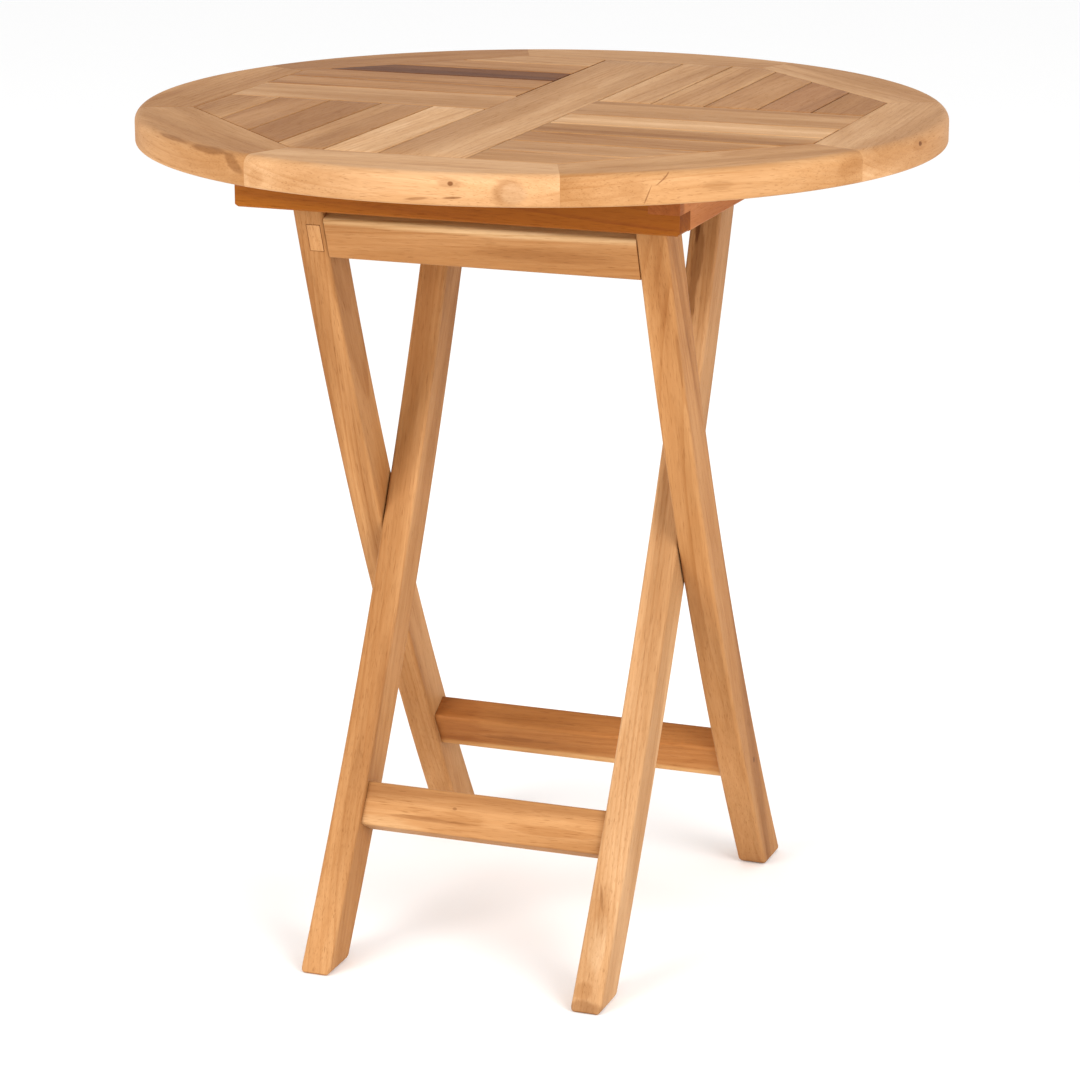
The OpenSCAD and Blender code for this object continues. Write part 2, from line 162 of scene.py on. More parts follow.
def close_rings(rings: np.ndarray, welded: bool) -> tuple[np.ndarray, list[np.ndarray]]:
    """The faces that close a stack of rings, turned to point outwards.

    The sum of each quad's area vector times its way from the middle of the solid is
    positive when the quads face outwards.

    Args:
        rings: Points, n rings by m by 3.
        welded: True if the last ring needs no cap.

    Returns:
        The quads, and the caps as rows of point numbers.
    """
    n, m = rings.shape[:2]
    index = np.arange(n * m).reshape(n, m)
    ahead = np.roll(index, -1, axis=1)
    quads = np.stack([index[:-1], ahead[:-1], ahead[1:], index[1:]], axis=-1).reshape(-1, 4)
    points = rings.reshape(-1, 3)
    p = points[quads]
    area = np.cross(p[:, 2] - p[:, 0], p[:, 3] - p[:, 1])
    outward = float(np.einsum("ij,ij->", p.mean(axis=1) - points.mean(axis=0), area)) > 0
    caps = [index[0][::-1]] if welded else [index[0][::-1], index[-1]]
    return (quads, caps) if outward else (quads[:, ::-1], [c[::-1] for c in caps])


def solid(
    name: str, parts: Sequence[tuple[np.ndarray, np.ndarray]], welded: bool = False
) -> bpy.types.Object:
    """A piece of one or more closed solids from rings of points joined by quads.

    Args:
        name: Name of the piece.
        parts: For each solid its points, n rings by m by 3, and its edge shares, n by m.
        welded: True if the last ring folds flat on itself and is welded shut.

    Returns:
        The new object, linked to the scene.
    """
    points = np.concatenate([rings.reshape(-1, 3) for rings, _ in parts])
    edge = np.concatenate([share.reshape(-1) for _, share in parts])
    faces, start = [], 0
    for rings, _ in parts:
        quads, caps = close_rings(rings, welded)
        faces += (quads + start).tolist() + [(c + start).tolist() for c in caps]
        start += rings.shape[0] * rings.shape[1]
    mesh = bpy.data.meshes.new(name)
    mesh.from_pydata(points.tolist(), [], faces)
    layer = mesh.attributes.new(EDGE, "FLOAT", "POINT")
    layer.data.foreach_set("value", edge.astype(np.float32))
    if welded:
        work = bmesh.new()
        work.from_mesh(mesh)
        bmesh.ops.remove_doubles(work, verts=work.verts, dist=WELD)
        work.to_mesh(mesh)
        work.free()
    mesh.polygons.foreach_set("use_smooth", np.ones(len(mesh.polygons), bool))
    mesh.set_sharp_from_angle(angle=SHARP)
    mesh.update()
    obj = bpy.data.objects.new(name, mesh)
    bpy.context.scene.collection.objects.link(obj)
    return obj


# ---------------------------------------------------------------- wood

# The share of each colour that is kept, so that it comes out right in the studio's light.
UNDER_LIGHT = (0.705, 0.685, 0.635)


def linear(r: int, g: int, b: int) -> tuple[float, float, float]:
    """A display colour of 0 to 255 as light: the usual sRGB curve, undone."""
    c = np.array([r, g, b]) / 255.0
    out = np.where(c <= 0.04045, c / 12.92, ((c + 0.055) / 1.055) ** 2.4)
    return tuple(float(v) for v in out)


def wood(r: int, g: int, b: int) -> tuple[float, float, float]:
    """The share of light that teak of this look gives back in the studio's light."""
    return tuple(share * v for share, v in zip(UNDER_LIGHT, linear(r, g, b)))


class Tone(Enum):
    """The overall colour of one piece of teak, from sapwood to dark heartwood, with one tone that holds
    painted shade and one that holds painted light.
    """

    CREAM = wood(255, 210, 166)
    STRAW = wood(227, 180, 135)
    HONEY = wood(216, 166, 117)
    GOLD = wood(215, 161, 109)
    TAWNY = wood(203, 151, 102)
    BROWN = wood(190, 136, 90)
    RUSSET = wood(199, 134, 76)
    UMBER = wood(130, 80, 40)
    # Deep amber for the front batten: painted shade, for the shade of the top's overhang that falls on it.
    AMBER_PAINTED_SHADE = wood(176, 104, 16)
    # Bright orange for the side battens: painted light, which makes up for the shade they stand in under the
    # top.
    ORANGE_PAINTED_LIGHT = wood(238, 160, 96)


class MarkKind(Enum):
    """What a local mark in the wood does to its colour."""

    KNOT = (0.42, 0.30, 0.20)
    STREAK = (0.62, 0.53, 0.44)
    SHADE = (0.84, 0.77, 0.68)
    PALE = (1.14, 1.22, 1.34)
    SAPWOOD = (1.40, 1.80, 2.40)
    CHECK = (0.40, 0.28, 0.18)


@dataclass(frozen=True)
class Mark:
    """One knot, streak or patch, in the board's own space.

    The mark fills an ellipsoid about its place, and its outline wanders with the grain.
    Its turn is about the line through the board, and its tilt about the line across it.
    """

    kind: MarkKind
    place: tuple[float, float, float]
    size: tuple[float, float, float]
    strength: float = 1.0
    turn: float = 0.0
    tilt: float = 0.0
    ragged: float = 0.35


def underside_mark(
    kind: MarkKind, along: float, across: float, length: float, width: float, strength: float,
    turn: float = 0.0, ragged: float = 0.35,
) -> Mark:
    """A mark in the underside of a board, 13 mm below its middle and 10 mm deep.

    A board's third axis points up, so a mark at -13 mm is in the underside only and
    doesn't show from above.

    Args:
        kind: What it does to the colour.
        along: Its place along the grain.
        across: Its place across the board.
        length: Half its length.
        width: Half its width.
        strength: How strong it is, up to 1.
        turn: Its turn in degrees about the line through the board.
        ragged: How far its outline wanders.

    Returns:
        The mark.
    """
    return Mark(kind, (along, across, -0.013), (length, width, 0.010), strength, turn, 0.0, ragged)


@dataclass(frozen=True)
class BoardSpace:
    """A board's own axes: along the grain, across the board and through it."""

    origin: tuple[float, float, float]
    grain: tuple[float, float, float]
    across: tuple[float, float, float]

    def matrix(self) -> Matrix:
        """The turn from the frame's axes to the board's."""
        g = Vector(self.grain).normalized()
        a = Vector(self.across)
        a = (a - g * a.dot(g)).normalized()
        return Matrix((g, a, g.cross(a)))


class Wiring:
    """Adds nodes to one node tree and joins their sockets."""

    def __init__(self, tree: bpy.types.NodeTree) -> None:
        """Takes the tree that the nodes go into."""
        self.tree = tree

    def node(self, kind: str, **settings: object) -> bpy.types.Node:
        """A node of that kind with those settings."""
        node = self.tree.nodes.new(kind)
        for key, value in settings.items():
            setattr(node, key, value)
        return node

    def feed(self, socket: bpy.types.NodeSocket, value: object) -> None:
        """Joins a socket to another, or sets it to a plain value."""
        if isinstance(value, bpy.types.NodeSocket):
            self.tree.links.new(value, socket)
        elif isinstance(value, tuple) and socket.type == "RGBA":
            socket.default_value = (*value[:3], 1.0)
        else:
            socket.default_value = value

    def math(self, operation: str, *values: object) -> bpy.types.NodeSocket:
        """One step of arithmetic on numbers."""
        node = self.node("ShaderNodeMath", operation=operation)
        for socket, value in zip(node.inputs, values):
            self.feed(socket, value)
        return node.outputs[0]

    def vector(self, operation: str, *values: object) -> bpy.types.NodeSocket:
        """One step of arithmetic on vectors."""
        node = self.node("ShaderNodeVectorMath", operation=operation)
        for socket, value in zip(node.inputs, values):
            self.feed(socket, value)
        return node.outputs["Value" if operation in ("LENGTH", "DOT_PRODUCT") else "Vector"]

    def noise(self, point: object, detail: float = 2.0, rough: float = 0.5) -> bpy.types.Node:
        """Smooth noise with a unit period, read at a point that is already scaled."""
        node = self.node("ShaderNodeTexNoise", noise_dimensions="3D", normalize=True)
        self.feed(node.inputs["Vector"], point)
        self.feed(node.inputs["Scale"], 1.0)
        self.feed(node.inputs["Detail"], detail)
        self.feed(node.inputs["Roughness"], rough)
        return node

    def step(
        self, value: object, low: float, high: float, a: object = 0.0, b: object = 1.0
    ) -> bpy.types.NodeSocket:
        """A smooth step from a to b while the value goes from low to high."""
        node = self.node("ShaderNodeMapRange", interpolation_type="SMOOTHSTEP", clamp=True)
        keys = ("Value", "From Min", "From Max", "To Min", "To Max")
        for key, item in zip(keys, (value, low, high, a, b)):
            self.feed(node.inputs[key], item)
        return node.outputs["Result"]

    def tint(self, share: object, colour: object, by: object) -> bpy.types.NodeSocket:
        """The colour, multiplied by another colour as far as the share says."""
        node = self.node("ShaderNodeMix", data_type="RGBA", blend_type="MULTIPLY", clamp_factor=True)
        self.feed(node.inputs[0], share)
        self.feed(node.inputs[6], colour)
        self.feed(node.inputs[7], by)
        return node.outputs[2]

    def scaled(self, vector: object, by: object) -> bpy.types.NodeSocket:
        """A vector times a number."""
        out = self.vector("SCALE", vector)
        self.feed(out.node.inputs["Scale"], by)
        return out

    def into(self, turn: Matrix, origin: Vector, point: object) -> bpy.types.NodeSocket:
        """A point in turned axes about an origin."""
        node = self.node("ShaderNodeMapping", vector_type="POINT")
        node.inputs["Rotation"].default_value = turn.to_euler("XYZ")
        node.inputs["Location"].default_value = -(turn @ origin)
        self.feed(node.inputs["Vector"], point)
        return node.outputs[0]

    def finish(self, shader: bpy.types.Node, height: object, strength: float, depth: float) -> None:
        """Gives a shader its relief and joins it to the material's output.

        Args:
            shader: The shader.
            height: The relief's height, from 0 to 1.
            strength: How much of the relief is seen.
            depth: What a height of 1 stands for.
        """
        bump = self.node("ShaderNodeBump")
        bump.inputs["Strength"].default_value = strength
        bump.inputs["Distance"].default_value = depth
        self.feed(bump.inputs["Height"], height)
        self.feed(shader.inputs["Normal"], bump.outputs["Normal"])
        out = self.node("ShaderNodeOutputMaterial")
        self.feed(out.inputs["Surface"], shader.outputs["BSDF"])


def empty_material(name: str) -> tuple[bpy.types.Material, Wiring]:
    """A material that has no nodes yet, and its wiring."""
    material = bpy.data.materials.new(name)
    material.use_nodes = True
    material.node_tree.nodes.clear()
    return material, Wiring(material.node_tree)


def teak_figure() -> bpy.types.NodeTree:
    """The growth of teak as a solid: rings round a pith, fibres, pores and streaks.

    The distance from the pith line, bent by slow noise, is divided by the ring width.
    Its fraction gives pale early wood that darkens to a thin late line, and each ring
    has a strength of its own. Long stretched noises give broad tone, darker streaks,
    fine fibres and short dark pores, and the ends of the grain are darker. Rounded
    edges get a painted highlight, and faces in joints and gaps get painted shade.

    Returns:
        The node group, made once and shared by every board.
    """
    found = bpy.data.node_groups.get("teak_figure")
    if found:
        return found
    tree = bpy.data.node_groups.new("teak_figure", "ShaderNodeTree")
    sockets = (
        ("Point", "NodeSocketVector", None), ("End", "NodeSocketFloat", 0.0),
        ("Edge", "NodeSocketFloat", 0.0), ("Base", "NodeSocketColor", None),
        ("Seed", "NodeSocketFloat", 0.0), ("Pith Across", "NodeSocketFloat", 0.0),
        ("Pith Through", "NodeSocketFloat", -0.05), ("Ring", "NodeSocketFloat", 0.0045),
        ("Wander", "NodeSocketFloat", 0.006), ("Contrast", "NodeSocketFloat", 1.0),
        ("Streak", "NodeSocketFloat", 0.3), ("Sapwood", "NodeSocketFloat", 1.0),
    )
    for name, kind, value in sockets:
        socket = tree.interface.new_socket(name, in_out="INPUT", socket_type=kind)
        if value is not None:
            socket.default_value = value
    for name, kind in (("Color", "NodeSocketColor"), ("Roughness", "NodeSocketFloat"),
                       ("Height", "NodeSocketFloat")):
        tree.interface.new_socket(name, in_out="OUTPUT", socket_type=kind)
    w = Wiring(tree)
    given = w.node("NodeGroupInput").outputs
    point = given["Point"]
    grown = w.vector("ADD", point, w.scaled((1.31, 2.17, 0.73), given["Seed"]))

    def along(x: float, y: float) -> bpy.types.NodeSocket:
        """The board's point, stretched along the grain."""
        return w.vector("MULTIPLY", grown, (x, y, y))

    bend = w.noise(along(1.6, 11.0), 1.5).outputs["Color"]
    bend = w.vector("SUBTRACT", bend, (0.5, 0.5, 0.5))
    pull = w.scaled(bend, w.math("MULTIPLY", given["Wander"], 4.0))
    ripple = w.noise(along(9.0, 60.0), 2.0).outputs["Color"]
    ripple = w.vector("SUBTRACT", ripple, (0.5, 0.5, 0.5))
    warped = w.vector("ADD", w.vector("ADD", point, pull), w.scaled(ripple, 1.6 * MM))
    pith = w.node("ShaderNodeCombineXYZ")
    w.feed(pith.inputs["Y"], given["Pith Across"])
    w.feed(pith.inputs["Z"], given["Pith Through"])
    away = w.vector("MULTIPLY", w.vector("SUBTRACT", warped, pith.outputs[0]), (0.0, 1.0, 1.0))
    ring = w.math("DIVIDE", w.vector("LENGTH", away), given["Ring"])
    part = w.math("FRACT", ring)
    late = w.math("MULTIPLY", w.step(part, 0.35, 0.93), w.step(part, 0.93, 1.0, 1.0, 0.0))
    one = w.node("ShaderNodeTexWhiteNoise", noise_dimensions="1D")
    w.feed(one.inputs["W"], w.math("FLOOR", ring))
    strong = w.math("MULTIPLY_ADD", one.outputs["Value"], 0.85, 0.15)
    late = w.math("MULTIPLY", late, strong)

    tone = w.step(w.noise(along(1.3, 19.0), 3.0, 0.55).outputs["Fac"], 0.32, 0.68)
    dark = w.step(w.noise(along(1.1, 30.0), 2.0, 0.5).outputs["Fac"], 0.55, 0.70)
    fibre = w.noise(along(22.0, 900.0), 2.0, 0.6).outputs["Fac"]
    thread = w.step(w.noise(along(5.0, 260.0), 2.0, 0.6).outputs["Fac"], 0.35, 0.7)
    pore = w.step(w.noise(along(55.0, 1500.0), 1.0, 0.5).outputs["Fac"], 0.60, 0.72)

    contrast = given["Contrast"]
    deep = w.math("MULTIPLY", w.step(tone, 0.0, 1.0, 1.0, 0.0), contrast)
    colour = w.tint(deep, given["Base"], (0.79, 0.72, 0.62))
    colour = w.tint(w.math("MULTIPLY", tone, contrast), colour, (1.06, 1.08, 1.10))
    colour = w.tint(w.math("MULTIPLY", dark, given["Streak"]), colour, (0.66, 0.57, 0.47))
    patchy = w.step(w.noise(along(2.5, 24.0), 2.0, 0.5).outputs["Fac"], 0.38, 0.66, 0.15, 1.0)
    seen = w.math("MULTIPLY", w.math("MULTIPLY", late, patchy), contrast)
    colour = w.tint(seen, colour, (0.84, 0.76, 0.65))
    cloud = w.noise(along(5.5, 38.0), 4.0, 0.62)
    cloud.inputs["Distortion"].default_value = 0.9
    cloud = w.step(cloud.outputs["Fac"], 0.36, 0.66)
    colour = w.tint(w.math("MULTIPLY", cloud, 0.8), colour, (0.91, 0.85, 0.76))
    colour = w.tint(w.math("MULTIPLY", thread, 0.5), colour, (0.90, 0.86, 0.81))
    colour = w.tint(w.step(fibre, 0.38, 0.66), colour, (0.94, 0.92, 0.89))
    colour = w.tint(w.math("MULTIPLY", pore, 0.55), colour, (0.62, 0.52, 0.42))
    split = w.node("ShaderNodeSeparateXYZ")
    w.feed(split.inputs[0], w.vector("ADD", point, pull))
    past = w.math("SUBTRACT", split.outputs["Y"], given["Sapwood"])
    colour = w.tint(w.step(past, -0.0015, 0.0025), colour, (1.12, 1.22, 1.36))
    end = w.step(given["End"], 0.55, 0.95)
    colour = w.tint(end, colour, (0.80, 0.72, 0.64))
    # Painted highlight: the rounded edges are made lighter, as where the light catches them.
    colour = w.tint(w.math("MULTIPLY", given["Edge"], 0.55), colour, (1.05, 1.07, 1.10))
    # Painted shade: faces that stand in a joint or a gap are made nearly black, for the shade that falls in
    # the narrow gaps.
    joint = w.step(w.math("MULTIPLY", given["Edge"], -1.0), 0.1, 0.8)
    colour = w.tint(joint, colour, (0.20, 0.12, 0.07))
    soil = w.noise(w.vector("MULTIPLY", grown, (7.0, 9.0, 9.0)), 4.0, 0.6).outputs["Fac"]
    soil = w.step(soil, 0.35, 0.72)
    colour = w.tint(w.math("MULTIPLY", soil, 0.5), colour, (0.93, 0.92, 0.91))

    rough = w.math("MULTIPLY_ADD", fibre, 0.10, 0.54)
    rough = w.math("MULTIPLY_ADD", soil, 0.06, rough)
    rough = w.math("MULTIPLY_ADD", pore, 0.12, rough)
    rough = w.math("MULTIPLY_ADD", given["Edge"], -0.07, rough)
    rough = w.math("MULTIPLY_ADD", end, 0.12, rough)
    height = w.math("MULTIPLY_ADD", late, 0.35, w.math("MULTIPLY", fibre, 0.5))
    height = w.math("MULTIPLY_ADD", pore, -0.9, height)
    height = w.math("MULTIPLY_ADD", thread, 0.3, height)
    out = w.node("NodeGroupOutput")
    w.feed(out.inputs["Color"], colour)
    w.feed(out.inputs["Roughness"], rough)
    w.feed(out.inputs["Height"], height)
    return tree


@dataclass(frozen=True)
class Teak:
    """One piece of bare, sanded teak, as it was cut from its log.

    The pith is where the middle of the log lies from the middle of the board, and a
    lean lets the grain run out of the faces, which makes the long arches.
    """

    tone: Tone
    seed: float
    pith: tuple[float, float] = (0.02, -0.07)
    ring: float = 0.0046
    wander: float = 0.006
    lean: tuple[float, float] = (1.2, 1.5)
    contrast: float = 1.1
    streak: float = 0.25
    sapwood: float = 1.0
    marks: tuple[Mark, ...] = ()

    def colour_marks(
        self, w: Wiring, point: bpy.types.NodeSocket, colour: bpy.types.NodeSocket
    ) -> bpy.types.NodeSocket:
        """Lays the board's own marks over its figure.

        A mark's share falls from 1 to 0 over the outer part of its ellipsoid, whose
        radius is bent by noise that is stretched along the grain.

        Args:
            w: The material's wiring.
            point: The board's own coordinates.
            colour: The colour so far.

        Returns:
            The colour with every mark in it.
        """
        for mark in self.marks:
            place = w.node("ShaderNodeMapping", vector_type="TEXTURE")
            w.feed(place.inputs["Vector"], point)
            place.inputs["Location"].default_value = mark.place
            turn = (0.0, math.radians(mark.tilt), math.radians(mark.turn))
            place.inputs["Rotation"].default_value = turn
            place.inputs["Scale"].default_value = mark.size
            rag = w.noise(w.vector("MULTIPLY", point, (18.0, 130.0, 130.0)), 3.0, 0.6).outputs["Fac"]
            far = w.vector("LENGTH", place.outputs[0])
            far = w.math("MULTIPLY_ADD", w.math("SUBTRACT", rag, 0.5), mark.ragged * 2.4, far)
            share = w.step(far, 0.55, 1.0, mark.strength, 0.0)
            colour = w.tint(share, colour, mark.kind.value)
        return colour

    def material(self, name: str, space: BoardSpace) -> bpy.types.Material:
        """The board's material, with the figure laid along its own axes.

        Args:
            name: Name of the material.
            space: The board's place and axes in the frame.

        Returns:
            The material.
        """
        material, w = empty_material(name)
        place = w.node("ShaderNodeTexCoord")
        upright, origin = space.matrix(), Vector(space.origin)
        about_face = Matrix.Rotation(math.radians(self.lean[0]), 3, "Z")
        turn = about_face @ Matrix.Rotation(math.radians(self.lean[1]), 3, "Y") @ upright
        facing = w.vector("DOT_PRODUCT", place.outputs["Normal"], tuple(turn[0]))
        edge = w.node("ShaderNodeAttribute", attribute_name=EDGE)
        figure = w.node("ShaderNodeGroup", node_tree=teak_figure())
        for key, value in (
            ("Point", w.into(turn, origin, place.outputs["Object"])),
            ("End", w.math("ABSOLUTE", facing)), ("Edge", edge.outputs["Fac"]),
            ("Base", self.tone.value), ("Seed", self.seed), ("Pith Across", self.pith[0]),
            ("Pith Through", self.pith[1]), ("Ring", self.ring), ("Wander", self.wander),
            ("Contrast", self.contrast), ("Streak", min(1.0, 1.5 * self.streak)),
            ("Sapwood", self.sapwood),
        ):
            w.feed(figure.inputs[key], value)
        point = w.into(upright, origin, place.outputs["Object"])
        shader = w.node("ShaderNodeBsdfPrincipled")
        colour = self.colour_marks(w, point, figure.outputs["Color"])
        w.feed(shader.inputs["Base Color"], colour)
        w.feed(shader.inputs["Roughness"], figure.outputs["Roughness"])
        shader.inputs["IOR"].default_value = 1.45
        shader.inputs["Specular IOR Level"].default_value = 0.16
        w.finish(shader, figure.outputs["Height"], 0.35, 0.35 * MM)
        return material


@dataclass(frozen=True)
class TurnedMetal:
    """Bare metal hardware with fine turning lines and a few duller patches."""

    name: str
    colour: tuple[float, float, float]
    dull: tuple[float, float, float]
    roughness: float

    def material(self) -> bpy.types.Material:
        """The metal's material: rings of fine noise round the x axis, over slow patches.

        Returns:
            The material.
        """
        material, w = empty_material(self.name)
        point = w.node("ShaderNodeTexCoord").outputs["Object"]
        lines = w.noise(w.vector("MULTIPLY", point, (2600.0, 90.0, 90.0)), 2.0).outputs["Fac"]
        patch = w.noise(w.vector("MULTIPLY", point, (130.0, 130.0, 130.0)), 4.0, 0.6)
        patch = w.step(patch.outputs["Fac"], 0.42, 0.68)
        shader = w.node("ShaderNodeBsdfPrincipled")
        w.feed(shader.inputs["Base Color"], w.tint(patch, self.colour, self.dull))
        rough = w.math("MULTIPLY_ADD", lines, 0.12, self.roughness)
        w.feed(shader.inputs["Roughness"], w.math("MULTIPLY_ADD", patch, 0.16, rough))
        shader.inputs["Metallic"].default_value = 1.0
        w.finish(shader, lines, 0.25, 0.05 * MM)
        return material


STEEL = TurnedMetal("brushed_steel", (0.60, 0.60, 0.61), (0.78, 0.77, 0.75), 0.26)
BRASS = TurnedMetal("dull_brass", (0.72, 0.50, 0.20), (0.62, 0.52, 0.44), 0.32)


def dress(obj: bpy.types.Object, material: bpy.types.Material) -> None:
    """Gives every face of a piece one material, without touching its mesh."""
    if not obj.data.materials:
        obj.data.materials.append(material)
    for slot in obj.material_slots:
        slot.material = material


def hand_over(
    piece: bpy.types.Object, node: str, body: str, teak: Teak, space: BoardSpace
) -> None:
    """Dresses a wooden piece, lets it stand for its node and has it move with its body.

    Args:
        piece: The finished piece.
        node: Name of the node it stands for.
        body: Name of the body it moves with.
        teak: Its piece of wood.
        space: Its place and axes in the frame.
    """
    dress(piece, teak.material(f"teak_{node}", space))
    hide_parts(node)
    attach(piece, body)
    LOG.info("%s stands for %s on %s, %d faces", piece.name, node, body, len(piece.data.polygons))


# ---------------------------------------------------------------- the top


class Quarter(Enum):
    """A quarter of the top, with the quarter turns from the front left one."""

    FRONT_LEFT = 0
    FRONT_RIGHT = 1
    REAR_RIGHT = 2
    REAR_LEFT = 3


RIM_TEAK: dict[str, Teak] = {
    "rim_front": Teak(Tone.STRAW, 3.1, (0.03, -0.06), streak=0.15, marks=(
        Mark(MarkKind.KNOT, (0.052, 0.021, -0.005), (0.0030, 0.005, 0.0022)),
        Mark(MarkKind.STREAK, (0.052, 0.021, -0.005), (0.0140, 0.006, 0.0042), 0.5),
        Mark(MarkKind.STREAK, (0.024, 0.024, 0.008), (0.0120, 0.005, 0.0016), 0.8, tilt=6.0),
        Mark(MarkKind.KNOT, (0.054, 0.021, 0.006), (0.0100, 0.006, 0.0012), 0.8, tilt=4.0),
        Mark(MarkKind.STREAK, (0.097, 0.011, 0.001), (0.0175, 0.012, 0.0125), 0.75),
        Mark(MarkKind.PALE, (0.100, 0.010, 0.002), (0.0130, 0.012, 0.0098), 1.0),
        Mark(MarkKind.SAPWOOD, (0.100, 0.010, 0.002), (0.0120, 0.012, 0.0088), 0.15),
        Mark(MarkKind.SHADE, (-0.122, 0.003, 0.004), (0.0110, 0.012, 0.0090), 0.9),
        Mark(MarkKind.SHADE, (0.035, -0.010, -0.013), (0.0600, 0.007, 0.0040), 0.6),
    )),
    "rim_front_right": Teak(Tone.HONEY, 5.7, (-0.02, -0.08), streak=0.1, marks=(
        Mark(MarkKind.CHECK, (-0.055, 0.021, -0.008), (0.0110, 0.008, 0.0007), 0.7, tilt=38.0),
        Mark(MarkKind.CHECK, (-0.068, 0.018, 0.004), (0.0095, 0.008, 0.0007), 0.7, tilt=68.0),
        Mark(MarkKind.SHADE, (-0.079, 0.015, 0.000), (0.0130, 0.014, 0.0110), 0.6),
        Mark(MarkKind.SHADE, (0.120, 0.004, -0.001), (0.0200, 0.014, 0.0110), 0.8),
        Mark(MarkKind.STREAK, (-0.009, 0.025, 0.000), (0.0150, 0.008, 0.0050), 0.30, ragged=0.7),
        Mark(MarkKind.PALE, (0.040, 0.020, 0.003), (0.0500, 0.010, 0.0080), 0.30),
    )),
    "rim_right": Teak(Tone.STRAW, 8.3, (0.05, -0.05), streak=0.2, marks=(
        Mark(MarkKind.KNOT, (-0.043, 0.022, -0.006), (0.0042, 0.006, 0.0026)),
        Mark(MarkKind.SHADE, (-0.043, 0.022, -0.006), (0.0200, 0.009, 0.0070), 0.7),
        Mark(MarkKind.PALE, (-0.123, 0.003, 0.004), (0.0120, 0.010, 0.0080), 0.4),
    )),
    "rim_rear_right": Teak(Tone.STRAW, 11.9, (0.02, -0.09), streak=0.25),
    "rim_rear": Teak(Tone.STRAW, 14.2, (-0.04, -0.06), streak=0.2),
    "rim_rear_left": Teak(Tone.TAWNY, 17.6, (0.03, -0.07), streak=0.25),
    "rim_left": Teak(Tone.HONEY, 20.4, (-0.05, -0.05), streak=0.2, marks=(
        Mark(MarkKind.SHADE, (0.070, 0.005, -0.013), (0.0500, 0.010, 0.0060), 0.8),
    )),
    "rim_front_left": Teak(Tone.HONEY, 23.8, (0.04, -0.08), streak=0.2, marks=(
        Mark(MarkKind.STREAK, (0.022, 0.022, -0.013), (0.0560, 0.005, 0.0030), 0.8, -3.8),
        Mark(MarkKind.STREAK, (0.087, 0.013, -0.012), (0.0330, 0.007, 0.0045), 0.9, -14.0),
        Mark(MarkKind.STREAK, (0.121, 0.003, -0.005), (0.0170, 0.008, 0.0060), 0.9, -20.0, -34.0),
    )),
}

BOARD_TEAK: dict[str, Teak] = {
    "centre_board": Teak(Tone.STRAW, 31.0, (0.10, -0.03), lean=(0.4, 0.4), streak=0.3, marks=(
        underside_mark(MarkKind.SHADE, 0.020, -0.012, 0.090, 0.010, 0.5, 4.0),
        underside_mark(MarkKind.KNOT, -0.035, 0.018, 0.003, 0.0018, 0.8),
        underside_mark(MarkKind.STREAK, -0.040, 0.020, 0.022, 0.0050, 0.4),
        underside_mark(MarkKind.PALE, -0.170, 0.015, 0.080, 0.012, 0.3),
    )),
    "cross_board_left": Teak(Tone.STRAW, 34.5, (-0.12, -0.04), lean=(0.5, 0.6), streak=0.2),
    "cross_board_right": Teak(Tone.STRAW, 37.2, (0.09, -0.05), lean=(0.5, 0.5), streak=0.3, marks=(
        underside_mark(MarkKind.SHADE, 0.100, 0.010, 0.070, 0.008, 0.6),
        underside_mark(MarkKind.PALE, 0.190, -0.012, 0.070, 0.010, 0.3),
    )),
}

